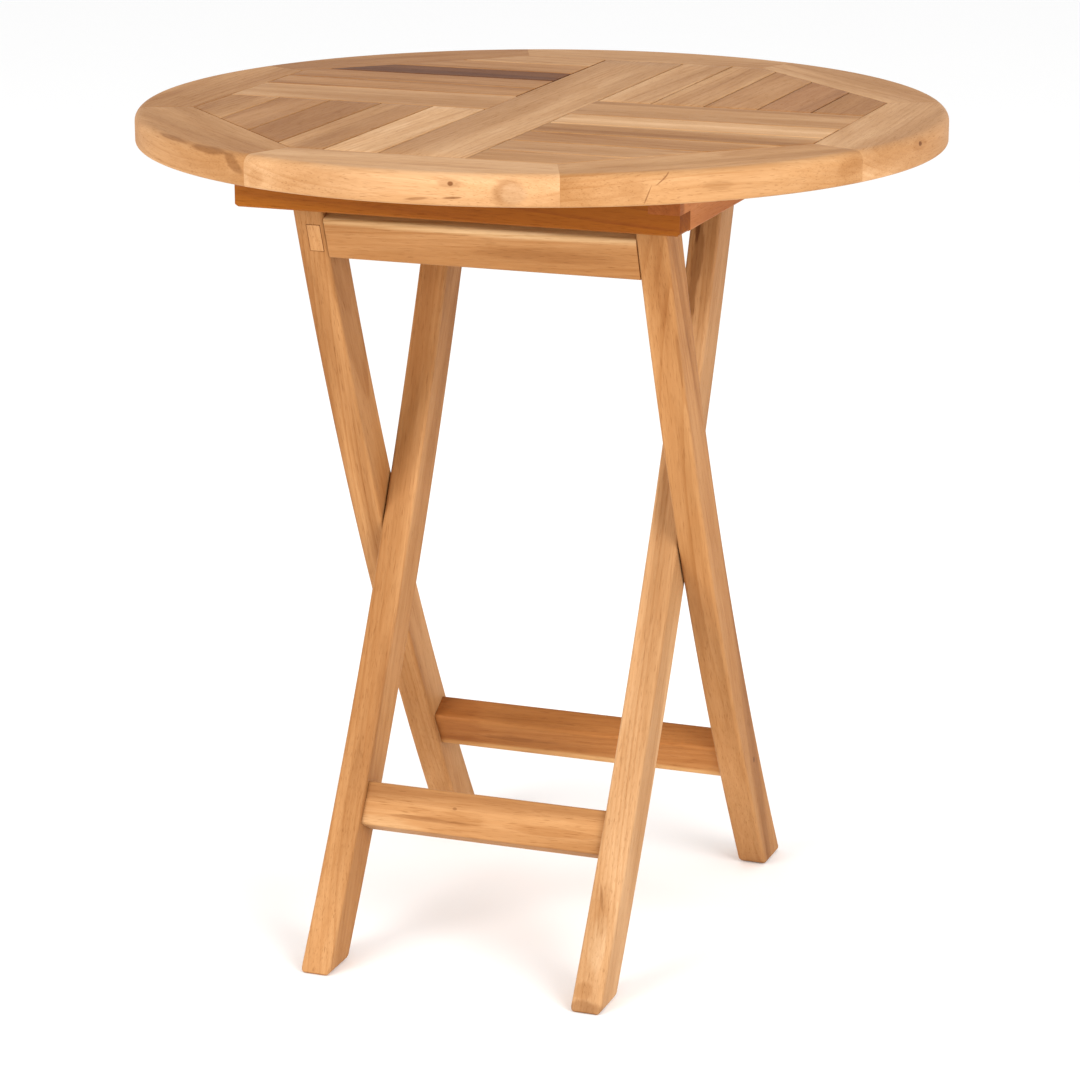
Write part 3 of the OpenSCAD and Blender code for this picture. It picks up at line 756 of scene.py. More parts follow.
SLAT_TEAK: dict[Quarter, tuple[Teak, ...]] = {
    Quarter.FRONT_LEFT: (
        Teak(Tone.CREAM, 41.0, (0.05, -0.04), streak=0.1, marks=(
            underside_mark(MarkKind.SHADE, 0.190, 0.008, 0.05, 0.009, 0.5),
        )),
        Teak(Tone.HONEY, 43.0, (0.08, -0.03), streak=0.2),
        Teak(Tone.TAWNY, 45.0, (-0.03, -0.05), streak=0.6, marks=(
            underside_mark(MarkKind.SAPWOOD, 0.130, 0.018, 0.140, 0.0080, 0.5),
            underside_mark(MarkKind.STREAK, 0.090, 0.002, 0.070, 0.0075, 0.9, 1.5, ragged=0.8),
            underside_mark(MarkKind.SHADE, 0.150, -0.012, 0.080, 0.0070, 0.7),
        )),
        Teak(Tone.TAWNY, 47.0, (0.02, -0.06), streak=0.5),
        Teak(Tone.HONEY, 49.0, (0.06, -0.03), streak=0.2),
    ),
    Quarter.FRONT_RIGHT: (
        Teak(Tone.CREAM, 51.0, (0.07, -0.03), streak=0.2, marks=(
            underside_mark(MarkKind.SHADE, 0.110, -0.014, 0.090, 0.0060, 0.8),
        )),
        Teak(Tone.HONEY, 53.0, (-0.05, -0.04), streak=0.4, sapwood=0.015),
        Teak(Tone.HONEY, 55.0, (0.03, -0.05), streak=0.5, marks=(
            underside_mark(MarkKind.STREAK, 0.160, -0.010, 0.045, 0.0045, 0.7, ragged=0.7),
        )),
        Teak(Tone.STRAW, 57.0, (-0.04, -0.05), streak=0.4, marks=(
            underside_mark(MarkKind.SHADE, 0.170, 0.000, 0.060, 0.0250, 0.9),
            underside_mark(MarkKind.STREAK, 0.135, -0.004, 0.050, 0.0060, 0.9, ragged=0.8),
        )),
        Teak(Tone.HONEY, 59.0, (0.05, -0.06), streak=0.3),
    ),
    Quarter.REAR_RIGHT: (
        Teak(Tone.STRAW, 61.0, (0.05, -0.05), streak=0.2, marks=(
            underside_mark(MarkKind.PALE, 0.120, 0.014, 0.080, 0.0060, 0.5),
        )),
        Teak(Tone.HONEY, 63.0, (-0.06, -0.04), streak=0.3),
        Teak(Tone.TAWNY, 65.0, (0.04, -0.05), streak=0.5, marks=(
            underside_mark(MarkKind.SAPWOOD, 0.130, -0.019, 0.100, 0.0080, 0.45),
            underside_mark(MarkKind.PALE, 0.190, 0.012, 0.050, 0.0080, 0.6),
        )),
        Teak(Tone.BROWN, 67.0, (0.05, -0.05), streak=0.7, marks=(
            underside_mark(MarkKind.SAPWOOD, 0.120, -0.019, 0.090, 0.0070, 0.5),
            underside_mark(MarkKind.STREAK, 0.160, 0.010, 0.040, 0.0050, 0.7, ragged=0.8),
        )),
        Teak(Tone.TAWNY, 69.0, (-0.04, -0.06), streak=0.4, marks=(
            underside_mark(MarkKind.PALE, 0.090, 0.016, 0.060, 0.0060, 0.7),
        )),
    ),
    Quarter.REAR_LEFT: (
        Teak(Tone.TAWNY, 71.0, (0.05, -0.05), streak=0.3),
        Teak(Tone.TAWNY, 73.0, (0.07, -0.04), streak=0.4, marks=(
            underside_mark(MarkKind.STREAK, 0.130, 0.012, 0.090, 0.0050, 0.8, ragged=0.7),
        )),
        Teak(Tone.UMBER, 75.0, (-0.04, -0.05), streak=0.8, marks=(
            underside_mark(MarkKind.STREAK, 0.110, 0.000, 0.100, 0.0080, 0.8, ragged=0.7),
        )),
        Teak(Tone.TAWNY, 77.0, (0.04, -0.06), streak=0.4),
        Teak(Tone.STRAW, 79.0, (0.05, -0.05), streak=0.3),
    ),
}


@dataclass
class TableTop:
    """The round top: eight rim segments, three long boards and twenty slats."""

    radius: float = 0.350
    height: float = 0.735
    thickness: float = 0.026
    rim_width: float = 0.050
    board_width: float = 0.074
    gap: float = 0.0016
    seam_gap: float = 0.0003
    rim_round: float = 0.008
    rim_ease: float = 0.0025
    board_ease: float = 0.0009
    end_ease: float = 0.0007
    tongue: float = 0.007
    tongue_shoulder: float = 0.004
    tongue_round: float = 0.0006
    tongue_reach: float = 0.0065
    open_joint: float = 0.0009
    slats: int = 5
    body: str = "table_top"
    rim_stations: int = 45
    board_stations: int = 16
    kink_margin: float = 0.06

    @property
    def apothem(self) -> float:
        """Distance from the middle to a flat of the opening."""
        return (self.radius - self.rim_width) * math.cos(math.pi / 8)

    @property
    def pitch(self) -> float:
        """Distance from one slat to the next."""
        return (self.apothem - self.board_width / 2) / self.slats

    @property
    def level(self) -> float:
        """Height of the middle of the boards."""
        return self.height - self.thickness / 2

    def rim_segment(self, name: str, number: int) -> None:
        """One rim segment, a section carried round the middle of the top.

        At an angle from its middle the inner face lies on a flat of the octagon, at
        the apothem over the cosine, and the outer face at the full radius.

        Args:
            name: Name of the node it stands for.
            number: Its place, counted anticlockwise from the front.
        """
        inset, near, share, far = eased_stations(self.end_ease, self.rim_stations)
        start = -math.pi / 8 + self.seam_gap / 2 / self.radius
        theta = start - 2 * start * share + (near - far) / self.radius
        inner = self.apothem / np.cos(theta)
        half = np.stack([(self.radius - inner) / 2, np.full_like(inner, self.thickness / 2)], axis=-1)
        centre = np.stack([(self.radius + inner) / 2, np.full_like(inner, self.level)], axis=-1)
        radii = (self.rim_round, self.board_ease, self.board_ease, self.rim_ease)
        points, edge = bar_section(half, centre, radii, inset, 8, even_flats(7), (0, 1, 0, 0))
        # The two end faces butt on the next segments and get the painted gap shade.
        edge[[0, -1]] = -1.0
        middle = number * math.pi / 4 - math.pi / 2
        turn = (theta + middle)[:, None]
        reach, z = points[..., 0], points[..., 1]
        rings = np.stack([reach * np.cos(turn), reach * np.sin(turn), z], axis=-1)
        piece = solid(f"wood_{name}", [(rings, edge)])
        ray = (math.cos(middle), math.sin(middle), 0.0)
        out = self.radius - self.rim_width / 2
        space = BoardSpace((out * ray[0], out * ray[1], self.level), (-ray[1], ray[0], 0.0), ray)
        hand_over(piece, name, self.body, RIM_TEAK[name], space)

    def reach_at(self, x: np.ndarray, square: float, slanted: float) -> np.ndarray:
        """Distance from y = 0 to the opening's edge at x, less the joint's width.

        The edge lies at the apothem, or where x and y add up to the apothem times the
        square root of two, whichever comes first.

        Args:
            x: Distance from the long board's middle line.
            square: Width of the joint on the square flat.
            slanted: Width of the joint on the slanted flat.

        Returns:
            The distance at each x.
        """
        root = math.sqrt(2)
        return np.minimum(self.apothem - square, self.apothem * root - np.abs(x) - slanted * root)

    def board(
        self, name: str, middle: float, width: float, near: float, turns: int, teak: Teak,
        joints: tuple[float, float, float] = (0.0, 0.0, 0.0),
    ) -> None:
        """A board along -y from its near end to the octagon, then turned about z.

        Its tongue, a thinner bar inside it, runs on into the rim and the board beside
        it, and shows only down in the joints.

        Args:
            name: Name of the node it stands for.
            middle: Its middle line's distance from x = 0, on the -x side.
            width: Its width.
            near: Distance of its near end from y = 0, or 0 for a board of two halves.
            turns: Quarter turns anticlockwise, seen from above.
            teak: Its piece of wood.
            joints: Width of its joint with the rim at a square end, at a slanted end
                and along its outer edge.
        """
        inset, from_near, share, from_far = eased_stations(self.end_ease, self.board_stations)
        w = share[:, None]
        corner = (self.apothem + joints[0]) * math.tan(math.pi / 8)
        flat = width - 2 * self.board_ease
        place = (corner - (middle - width / 2) - self.board_ease) / flat
        on_flat = self.kink_margin < place < 1.0 - self.kink_margin
        kink = place if middle > 0 and on_flat else None
        c, s = round(math.cos(turns * math.pi / 2)), round(math.sin(turns * math.pi / 2))

        def bar(
            cut: tuple[float, float], tall: float, ease: float, grow: float, ends: float
        ) -> tuple[np.ndarray, np.ndarray]:
            """One bar, from its sides at -x and +x, its height, its corners and its growth."""
            low, high = -middle - width / 2 + cut[0], -middle + width / 2 - cut[1]
            half, centre = ((high - low) / 2, tall / 2), ((high + low) / 2, self.level)
            flats = even_flats(7, kink if grow == 0 else None)
            round_all = (ease,) * 4
            points, edge = bar_section(half, centre, round_all, inset * ends, 3, flats, (0, 1, 0, 1))
            x = points[..., 0]
            far_end = -self.reach_at(x, joints[0], joints[1]) - grow
            before = grow + self.gap * (grow > 0) - near
            near_end = -far_end if near == 0 else np.full_like(x, before)
            y = (near_end - from_near[:, None]) * (1 - w) + (far_end + from_far[:, None]) * w
            # The two end faces stand in joints and get the painted gap shade.
            edge[[0, -1]] = -1.0
            return np.stack([c * x - s * y, s * x + c * y, points[..., 1]], axis=-1), edge

        plank = bar((joints[2], 0.0), self.thickness, self.board_ease, 0.0, 1.0)
        shoulders = (self.tongue_shoulder, self.tongue_shoulder)
        tongue = bar(shoulders, self.tongue, self.tongue_round, self.tongue_reach, 0.5)
        # The whole tongue lies in the joints and gets the painted gap shade.
        piece = solid(f"wood_{name}", [plank, (tongue[0], tongue[1] * 0 - 1.0)])
        space = BoardSpace((c * -middle, s * -middle, self.level), (s, -c, 0.0), (c, s, 0.0))
        hand_over(piece, name, self.body, teak, space)

    def build(self) -> None:
        """Makes the rim, the long boards and the slats of every quarter."""
        for number, name in enumerate(RIM_TEAK):
            self.rim_segment(name, number)
        width, wide = self.board_width, self.open_joint
        self.board("centre_board", 0.0, width, 0.0, 0, BOARD_TEAK["centre_board"])
        for name, turns in (("cross_board_left", 3), ("cross_board_right", 1)):
            self.board(name, 0.0, width, width / 2, turns, BOARD_TEAK[name])
        for quarter, woods in SLAT_TEAK.items():
            for n, teak in enumerate(woods, start=1):
                name = f"slat_{quarter.name.lower()}_{n}"
                middle = width / 2 + self.gap / 2 + (n - 0.5) * self.pitch
                near = width / 2 + self.gap
                side = wide if n == self.slats else 0.0
                joints = (0.0, wide, side) if quarter.value % 2 == 0 else (wide, 0.0, 0.0)
                self.board(name, middle, self.pitch - self.gap, near, quarter.value, teak, joints)


# ---------------------------------------------------------------- battens


# The dark end grain at the front of a side batten.
BATTEN_END = Mark(MarkKind.STREAK, (-0.208, 0.0, 0.0), (0.012, 0.04, 0.03), 1.0, ragged=0.1)

BATTEN_TEAK: dict[str, tuple[Teak, BoardSpace]] = {
    "front_batten": (
        # Painted shade: the front batten's deep amber stands for the shade under the top's overhang.
        Teak(Tone.AMBER_PAINTED_SHADE, 83.0, (0.05, -0.06), streak=0.35),
        BoardSpace((0.0, -0.1975, 0.6895), (1, 0, 0), (0, 0, 1)),
    ),
    # Painted light: both side battens take the bright orange, which makes up for the shade under the top.
    "side_batten_left": (
        Teak(Tone.ORANGE_PAINTED_LIGHT, 85.0, (0.06, -0.05), streak=0.3, marks=(BATTEN_END,)),
        BoardSpace((-0.1815, 0.0, 0.6895), (0, 1, 0), (0, 0, 1)),
    ),
    "side_batten_right": (
        Teak(Tone.ORANGE_PAINTED_LIGHT, 87.0, (-0.05, -0.05), streak=0.3, marks=(BATTEN_END,)),
        BoardSpace((0.1815, 0.0, 0.6895), (0, 1, 0), (0, 0, 1)),
    ),
    "stop_blocks": (
        Teak(Tone.TAWNY, 89.0, (0.03, -0.05), streak=0.3),
        BoardSpace((0.0, -0.18, 0.697), (1, 0, 0), (0, 0, 1)),
    ),
    "rim_splines": (
        Teak(Tone.TAWNY, 91.0, (0.03, -0.05), streak=0.2),
        BoardSpace((0.0, 0.0, 0.722), (1, 0, 0), (0, 1, 0)),
    ),
}


@dataclass
class BattenFrame:
    """The battens under the top and the metal of the hinge, as they were cut."""

    steel_nodes: tuple[str, ...] = (
        "batten_screws", "hinge_rod", "hinge_nuts", "hinge_washers", "crossing_pins",
    )
    brass_nodes: tuple[str, ...] = (
        "hinge_bushings", "hinge_spacers", "crossing_bushings", "crossing_washers",
    )

    def build(self) -> None:
        """Dresses each node in its own teak, steel or brass."""
        nodes = frame["nodes"]
        for name, (teak, space) in BATTEN_TEAK.items():
            dress(nodes[name], teak.material(f"teak_{name}", space))
            LOG.info("%s keeps its shape and takes its own teak", name)
        for metal, names in ((STEEL, self.steel_nodes), (BRASS, self.brass_nodes)):
            material = metal.material()
            for name in names:
                dress(nodes[name], material)
                LOG.info("%s is %s", name, metal.name)


# ---------------------------------------------------------------- the legs


@dataclass
class LegArc:
    """The bow that every leg follows, seen from the side, with the crossing at y = 0.

    A circle through the head and the foot whose middle stands off the straight line by
    the bow. Its radius is a quarter of the chord squared plus the bow squared, over
    twice the bow.
    """

    foot_spread: float = 0.396
    head_spread: float = 0.280
    bow: float = 0.024
    rise: float = 0.709
    forward: float = 0.015

    def __post_init__(self) -> None:
        """Works out the radius and the middle of the circle."""
        sum_half = (self.foot_spread + self.head_spread) / 2
        chord = math.hypot(sum_half, self.rise)
        self.radius = (chord * chord / 4 + self.bow * self.bow) / (2 * self.bow)
        lift = (self.radius - self.bow) / chord
        self.y = (self.foot_spread - self.head_spread) / 4 + lift * self.rise
        self.z = self.rise / 2 + lift * sum_half

    def angle(self, z: np.ndarray | float, offset: np.ndarray | float = 0.0) -> np.ndarray:
        """Angle about the circle's middle at which a line this far off reaches height z."""
        return math.pi + np.arcsin((self.z - z) / (self.radius + offset))

    def point(
        self, angle: np.ndarray, offset: np.ndarray | float, facing: int
    ) -> tuple[np.ndarray, np.ndarray]:
        """World y and z at an angle and an offset out of the bowed side.

        Args:
            angle: Angle about the circle's middle.
            offset: Distance out of the bowed side.
            facing: 1 for the outer legs, -1 for the inner legs, which bow to the rear.

        Returns:
            The y and z coordinates.
        """
        reach = self.radius + offset
        y = facing * (self.y + reach * np.cos(angle)) - self.forward
        return y, self.z + reach * np.sin(angle)


@dataclass
class LegFrame:
    """Two bowed legs joined by a top rail and a rung."""

    name: str
    body: str
    facing: int
    inside: float
    woods: dict[str, Teak]
    arc: LegArc = field(default_factory=LegArc)
    leg_width: float = 0.027
    leg_depth: float = 0.039
    bar_height: float = 0.039
    leg_round: float = 0.0030
    bar_round: float = 0.0030
    foot_round: float = 0.0050
    bar_end_ease: float = 0.0005
    head_share: float = 0.25
    leg_stations: int = 46
    bar_stations: int = 22
    head_level: float = 0.7087
    hinge_level: float = 0.6875
    rail_level: float = 0.642
    rung_level: float = 0.126

    def leg(self, side: int, name: str) -> None:
        """One leg: a rounded section carried along the bow from the foot to the head.

        Each line of the section ends on the floor. The outer legs end level under the
        top, softened by a share of the foot's rounding. On the inner legs each point of
        the section swings round the hinge line at its own distance from it, until the
        two halves meet.

        Args:
            side: -1 for the left leg and 1 for the right one.
            name: Name of the node it stands for.
        """
        round_head = self.facing < 0
        ease, middle = self.foot_round, self.leg_stations
        quarter = np.linspace(0.0, math.pi / 2, 6)
        foot_inset = np.concatenate([[ease * 1.2], ease * (1 - np.sin(quarter))])
        foot_rise = np.concatenate([[0.0], ease * (1 - np.cos(quarter))])
        swing = np.linspace(0.0, math.pi / 2, 13)[1:]
        head_inset = np.zeros(len(swing)) if round_head else self.head_share * foot_inset[::-1]
        inset = np.concatenate([foot_inset, np.zeros(middle), head_inset])
        half = (self.leg_depth / 2, self.leg_width / 2)
        points, edge = bar_section(half, (0.0, 0.0), (self.leg_round,) * 4, inset, 5, even_flats())
        q, x = points[..., 0], points[..., 1]
        feet, rest = len(foot_inset), len(foot_inset) + middle
        share = np.linspace(0, 1, middle + 1)[1:, None]
        q_mid = q[feet:rest]
        low = self.arc.angle(ease, q_mid)
        angle = np.empty_like(q)
        angle[:feet] = self.arc.angle(foot_rise[:, None], q[:feet])
        y, z = np.empty_like(q), np.empty_like(q)
        if round_head:
            hinge = float(self.arc.angle(self.hinge_level))
            angle[feet:rest] = low + (hinge - low) * share
            y[:rest], z[:rest] = self.arc.point(angle[:rest], q[:rest], self.facing)
            hy, hz = self.arc.point(np.array(hinge), 0.0, self.facing)
            out = q[rest:] * np.cos(swing)[:, None]
            up = np.abs(q[rest:]) * np.sin(swing)[:, None]
            y[rest:] = hy + self.facing * (out * math.cos(hinge) + up * math.sin(hinge))
            z[rest:] = hz + out * math.sin(hinge) - up * math.cos(hinge)
        else:
            high = self.arc.angle(self.head_level - self.head_share * ease, q_mid)
            angle[feet:rest] = low + (high - low) * share
            below = self.head_share * foot_rise[::-1, None]
            angle[rest:] = self.arc.angle(self.head_level - below, q[rest:])
            y, z = self.arc.point(angle, q, self.facing)
        across = side * (self.inside + self.leg_width / 2)
        rings = np.stack([x + across, y, z], axis=-1)
        piece = solid(f"wood_{name}", [(rings, edge)], welded=round_head)
        foot = np.array(self.arc.point(self.arc.angle(0.0), 0.0, self.facing))
        head = np.array(self.arc.point(self.arc.angle(self.arc.rise), 0.0, self.facing))
        mid, run = (foot + head) / 2, head - foot
        bowed = (0.0, -self.facing * run[1], self.facing * run[0])
        space = BoardSpace((across, mid[0], mid[1]), (0.0, run[0], run[1]), bowed)
        hand_over(piece, name, self.body, self.woods[name], space)

    def bar(self, level: float, lift: float, name: str) -> None:
        """A rail or rung between the legs, square to the bow at its height.

        Args:
            level: Height at which its middle meets the legs' centre line.
            lift: How far its middle stands off that line, towards the bowed side.
            name: Name of the node it stands for.
        """
        inset, near, share, far = eased_stations(self.bar_end_ease, self.bar_stations)
        half = (self.leg_width / 2, self.bar_height / 2)
        points, edge = bar_section(half, (0.0, 0.0), (self.bar_round,) * 4, inset, 4, even_flats())
        angle = float(self.arc.angle(level))
        y0, z0 = (float(v) for v in self.arc.point(np.array(angle), lift, self.facing))
        out = (self.facing * math.cos(angle), math.sin(angle))
        down = (self.facing * -math.sin(angle), math.cos(angle))
        a, b = points[..., 0], points[..., 1]
        x = (-self.inside + near) * (1 - share) + (self.inside - far) * share
        y, z = y0 + a * out[0] + b * down[0], z0 + a * out[1] + b * down[1]
        rings = np.stack([np.broadcast_to(x[:, None], a.shape), y, z], axis=-1)
        piece = solid(f"wood_{name}", [(rings, edge)])
        space = BoardSpace((0.0, y0, z0), (1.0, 0.0, 0.0), (0.0, *down))
        hand_over(piece, name, self.body, self.woods[name], space)

    def build(self) -> None:
        """Makes both legs, the rail and the rung."""
        self.leg(-1, f"{self.name}_leg_left")
        self.leg(1, f"{self.name}_leg_right")
        self.bar(self.rail_level, (self.leg_depth - self.leg_width) / 2, f"{self.name}_top_rail")
        self.bar(self.rung_level, 0.0, f"{self.name}_rung")


@dataclass
class LegPatch:
    """The small block let into the front of the left outer leg, with a dark line round it that is painted
    shade of its seam.
    """

    frame: LegFrame
    width: float = 0.012
    height: float = 0.025
    depth: float = 0.004
    margin: float = 0.004
    proud: float = 0.00016
    seam_shade_proud: float = 0.00008
    seam_shade_width: float = 0.0006

    def block(self, name: str, grow: float, proud: float) -> bpy.types.Object:
        """A block on the leg's face, square to the bow at the rail's height.

        Args:
            name: Name of the piece.
            grow: How much wider and taller it is on every side.
            proud: How far it stands out of the leg's face.

        Returns:
            The piece.
        """
        arc, facing = self.frame.arc, self.frame.facing
        angle = float(arc.angle(self.frame.rail_level))
        inset, near, share, far = eased_stations(0.0001, 3)
        half = (self.width / 2 + grow, self.height / 2 + grow)
        points, edge = bar_section(half, (0.0, 0.0), (0.4 * MM,) * 4, inset, 3, even_flats(3))
        base = self.frame.leg_depth / 2 - self.depth
        offset = (base + near) * (1 - share) + (self.frame.leg_depth / 2 + proud - far) * share
        y, z = arc.point(np.array(angle), offset[:, None] + 0 * points[..., 0], facing)
        b = points[..., 1]
        x = points[..., 0] - (self.frame.inside + self.margin + self.width / 2)
        rings = np.stack([x, y - b * facing * math.sin(angle), z + b * math.cos(angle)], axis=-1)
        # The block's rounded edges take a third of the painted edge highlight.
        return solid(name, [(rings, edge * 0.3)])

    def build(self) -> None:
        """Makes the dark line of painted seam shade and the block over it."""
        arc = self.frame.arc
        y, z = arc.point(arc.angle(self.frame.rail_level), self.frame.leg_depth / 2, self.frame.facing)
        space = BoardSpace((-0.1495, float(y), float(z)), (0.0, -0.2, 1.0), (1.0, 0.0, 0.0))
        block = self.block("wood_leg_patch", 0.0, self.proud)
        pale = Teak(Tone.GOLD, 97.0, (0.04, -0.03), streak=0.1)
        hand_over(block, "leg_patch", self.frame.body, pale, space)
        # Painted shade: a thin dark strip round the block stands for the shade in its seam.
        line = self.block("seam_shade_line", self.seam_shade_width, self.seam_shade_proud)
        dark = Teak(Tone.UMBER, 99.0, (0.04, -0.03), contrast=1.0, streak=1.0)
        dress(line, dark.material("teak_seam_shade_line", space))
        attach(line, self.frame.body)
        LOG.info("seam_shade_line rings the patch")


OUTER_TEAK: dict[str, Teak] = {
    "outer_leg_left": Teak(Tone.GOLD, 101.0, (0.02, -0.06), streak=0.4, marks=(
        Mark(MarkKind.PALE, (0.200, 0.019, -0.006), (0.140, 0.040, 0.005), 0.6),
        Mark(MarkKind.SHADE, (-0.340, 0.000, 0.000), (0.060, 0.040, 0.020), 0.6),
    )),
    "outer_leg_right": Teak(Tone.GOLD, 103.0, (-0.03, -0.05), streak=0.5, marks=(
        Mark(MarkKind.SHADE, (0.300, 0.019, 0.004), (0.120, 0.030, 0.006), 0.7),
        Mark(MarkKind.STREAK, (0.230, 0.025, 0.012), (0.040, 0.030, 0.0018), 0.7),
        Mark(MarkKind.KNOT, (-0.255, 0.010, 0.013), (0.004, 0.0028, 0.006), 0.8),
        Mark(MarkKind.PALE, (0.150, 0.019, 0.010), (0.120, 0.030, 0.004), 0.7),
    )),
    "outer_top_rail": Teak(Tone.GOLD, 105.0, (0.05, -0.05), streak=0.2, marks=(
        # Painted light: this SAPWOOD mark makes a pale strip along the rail's top face, for the light that
        # falls on it from above.
        Mark(MarkKind.SAPWOOD, (0.000, -0.019, 0.000), (0.260, 0.0075, 0.060), 0.85, ragged=0.1),
        Mark(MarkKind.SHADE, (0.055, 0.002, 0.000), (0.090, 0.0080, 0.060), 0.7),
    )),
    # The sapwood setting and the SAPWOOD mark make the rung paler along its lower face, down to its bottom
    # edge.
    "outer_rung": Teak(Tone.RUSSET, 107.0, (0.02, -0.05), streak=0.7, sapwood=0.0095, marks=(
        Mark(MarkKind.SHADE, (-0.120, -0.002, 0.000), (0.040, 0.0300, 0.060), 1.0, ragged=0.5),
        Mark(MarkKind.STREAK, (-0.060, 0.001, 0.000), (0.070, 0.0050, 0.060), 0.5, ragged=0.9),
        Mark(MarkKind.SAPWOOD, (0.000, 0.017, 0.000), (0.260, 0.0080, 0.060), 0.85, ragged=0.12),
    )),
}

INNER_TEAK: dict[str, Teak] = {
    "inner_leg_left": Teak(Tone.GOLD, 111.0, (0.03, -0.05), streak=0.4, marks=(
        # Painted shade: these two SHADE marks darken the head end, which stands in shade under the top.
        Mark(MarkKind.SHADE, (0.260, 0.000, 0.000), (0.230, 0.060, 0.020), 0.9),
        Mark(MarkKind.SHADE, (0.300, 0.000, 0.004), (0.090, 0.060, 0.008), 0.6),
        Mark(MarkKind.PALE, (-0.250, -0.010, 0.006), (0.110, 0.030, 0.005), 0.5),
    )),
    "inner_leg_right": Teak(Tone.STRAW, 113.0, (0.0, -0.03), streak=0.4, marks=(
        Mark(MarkKind.STREAK, (-0.302, -0.010, 0.003), (0.0180, 0.030, 0.0018), 0.6, tilt=-14.0, ragged=0.6),
        Mark(MarkKind.SHADE, (-0.310, -0.010, 0.000), (0.0260, 0.030, 0.0070), 0.7, tilt=-8.0, ragged=0.8),
        Mark(MarkKind.SAPWOOD, (-0.340, -0.015, 0.000), (0.0300, 0.030, 0.0100), 0.25),
        Mark(MarkKind.SHADE, (-0.382, -0.019, 0.004), (0.0090, 0.030, 0.0100), 1.0),
        Mark(MarkKind.STREAK, (-0.397, -0.019, 0.000), (0.0080, 0.030, 0.0200), 0.8),
        Mark(MarkKind.STREAK, (0.270, 0.000, 0.003), (0.0900, 0.030, 0.0060), 1.0, ragged=0.9),
        Mark(MarkKind.KNOT, (0.300, 0.000, 0.006), (0.0250, 0.030, 0.0030), 0.8, ragged=0.9),
        # Painted shade: this SHADE mark darkens the whole head end, which stands in shade under the top.
        Mark(MarkKind.SHADE, (0.300, 0.000, 0.000), (0.1400, 0.060, 0.0250), 1.0),
        Mark(MarkKind.SHADE, (0.000, 0.024, -0.006), (0.1500, 0.040, 0.0060), 0.4),
    )),
    "inner_top_rail": Teak(Tone.GOLD, 115.0, (0.04, -0.05), streak=0.3),
    "inner_rung": Teak(Tone.GOLD, 117.0, (0.02, -0.05), streak=0.8, marks=(
        Mark(MarkKind.SHADE, (-0.030, 0.004, 0.000), (0.050, 0.0080, 0.060), 1.0, ragged=0.8),
        Mark(MarkKind.SHADE, (0.060, 0.006, 0.000), (0.050, 0.0060, 0.060), 1.0, ragged=0.8),
        Mark(MarkKind.STREAK, (-0.050, 0.008, 0.000), (0.045, 0.0026, 0.060), 0.6, ragged=0.9),
        Mark(MarkKind.SAPWOOD, (-0.095, 0.016, 0.000), (0.045, 0.0080, 0.060), 0.35, ragged=0.5),
        Mark(MarkKind.KNOT, (-0.027, -0.004, 0.000), (0.0030, 0.0018, 0.060), 0.6, ragged=0.5),
    )),
}


# ---------------------------------------------------------------- studio


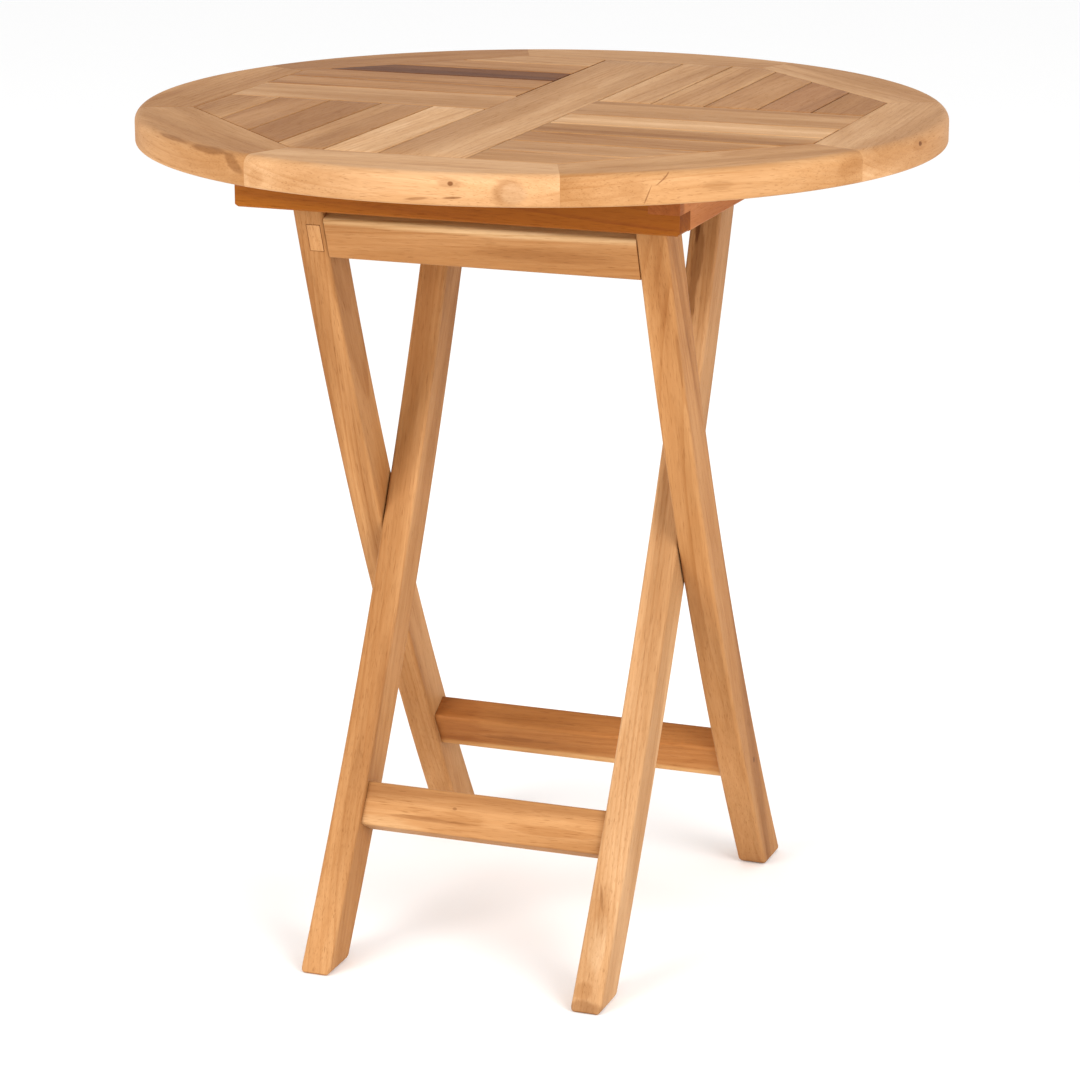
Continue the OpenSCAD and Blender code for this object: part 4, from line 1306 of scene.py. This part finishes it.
@dataclass
class Studio:
    """A plain pale floor, soft light from all round and the camera."""

    eye: tuple[float, float, float] = (1.0745, -2.9172, 1.2184)
    yaw: float = 20.25
    pitch: float = -15.701
    lens: float = 120.55
    sky: float = 0.97

    def floor(self) -> None:
        """A round pale floor far wider than the view: radius times the sine and cosine."""
        turn = np.linspace(0, 2 * math.pi, 97)[:-1]
        reach = np.array([1.5, 6.0, 30.0])
        x, y = reach[:, None] * np.cos(turn), reach[:, None] * np.sin(turn)
        grid = np.stack([x, y, 0 * x], axis=-1)
        index = np.arange(grid[..., 0].size).reshape(len(reach), -1)
        ahead = np.roll(index, -1, axis=1)
        quads = np.stack([index[:-1], index[1:], ahead[1:], ahead[:-1]], axis=-1).reshape(-1, 4)
        mesh = bpy.data.meshes.new("floor")
        mesh.from_pydata(grid.reshape(-1, 3).tolist(), [], [index[0].tolist()] + quads.tolist())
        obj = bpy.data.objects.new("floor", mesh)
        bpy.context.scene.collection.objects.link(obj)
        material = bpy.data.materials.new("pale_floor")
        material.use_nodes = True
        tree = material.node_tree
        shader = tree.nodes["Principled BSDF"]
        w = Wiring(tree)
        place = w.node("ShaderNodeTexCoord").outputs["Object"]
        grey = w.noise(w.vector("MULTIPLY", place, (2.0, 2.0, 2.0)), 3.0).outputs["Fac"]
        grey = w.math("MULTIPLY", grey, 0.3)
        w.feed(shader.inputs["Base Color"], w.tint(grey, (0.97, 0.97, 0.97), (0.98, 0.98, 0.98)))
        shader.inputs["Roughness"].default_value = 0.9
        shader.inputs["Specular IOR Level"].default_value = 0.1
        dress(obj, material)

    def lamp(
        self, name: str, place: tuple[float, float, float], size: float, power: float,
        colour: tuple[float, float, float],
    ) -> None:
        """A square soft lamp that faces the middle of the table.

        Args:
            name: Name of the lamp.
            place: Where it hangs.
            size: Length of its sides.
            power: Its power in watts.
            colour: Its colour.
        """
        data = bpy.data.lights.new(name, "AREA")
        data.shape, data.size, data.energy, data.color = "SQUARE", size, power, colour
        lamp = bpy.data.objects.new(name, data)
        lamp.location = place
        lamp.rotation_euler = (Vector((0, 0, 0.4)) - Vector(place)).to_track_quat("-Z", "Y").to_euler()
        bpy.context.scene.collection.objects.link(lamp)

    def camera(self) -> None:
        """The camera: its axes come from yaw about z and pitch above the horizon."""
        yaw, pitch = math.radians(self.yaw), math.radians(self.pitch)
        ahead = Vector((-math.sin(yaw) * math.cos(pitch), math.cos(yaw) * math.cos(pitch), math.sin(pitch)))
        right = Vector((math.cos(yaw), math.sin(yaw), 0.0))
        up = right.cross(ahead)
        data = bpy.data.cameras.new("camera")
        data.lens, data.sensor_width = self.lens, 36.0
        data.clip_end = 200.0
        obj = bpy.data.objects.new("camera", data)
        matrix = Matrix((right, up, -ahead)).transposed().to_4x4()
        matrix.translation = Vector(self.eye)
        obj.matrix_world = matrix
        bpy.context.scene.collection.objects.link(obj)
        bpy.context.scene.camera = obj

    def build(self) -> None:
        """Sets up the floor, the lamps, the light from all round and the camera."""
        self.floor()
        world = bpy.data.worlds.new("studio")
        world.use_nodes = True
        sky = world.node_tree.nodes["Background"].inputs
        sky["Color"].default_value = (1.0, 1.0, 1.0, 1.0)
        sky["Strength"].default_value = self.sky
        bpy.context.scene.world = world
        bpy.context.scene.view_settings.view_transform = "Standard"
        self.lamp("key", (-1.9, -3.9, 1.7), 2.2, 120.0, (1.0, 0.985, 0.96))
        self.lamp("fill", (3.4, -2.2, 2.0), 2.4, 130.0, (1.0, 0.99, 0.98))
        self.camera()
        LOG.info("studio is set")


def main() -> None:
    """Builds the studio, the top, the battens and both leg frames in order."""
    logging.basicConfig(level=logging.INFO, format="%(name)s: %(message)s")
    Studio().build()
    TableTop().build()
    BattenFrame().build()
    outer = LegFrame("outer", "outer_frame", 1, 0.1395, OUTER_TEAK)
    outer.build()
    LegPatch(outer).build()
    LegFrame("inner", "inner_frame", -1, 0.1115, INNER_TEAK).build()


if __name__ == "__main__":
    main()
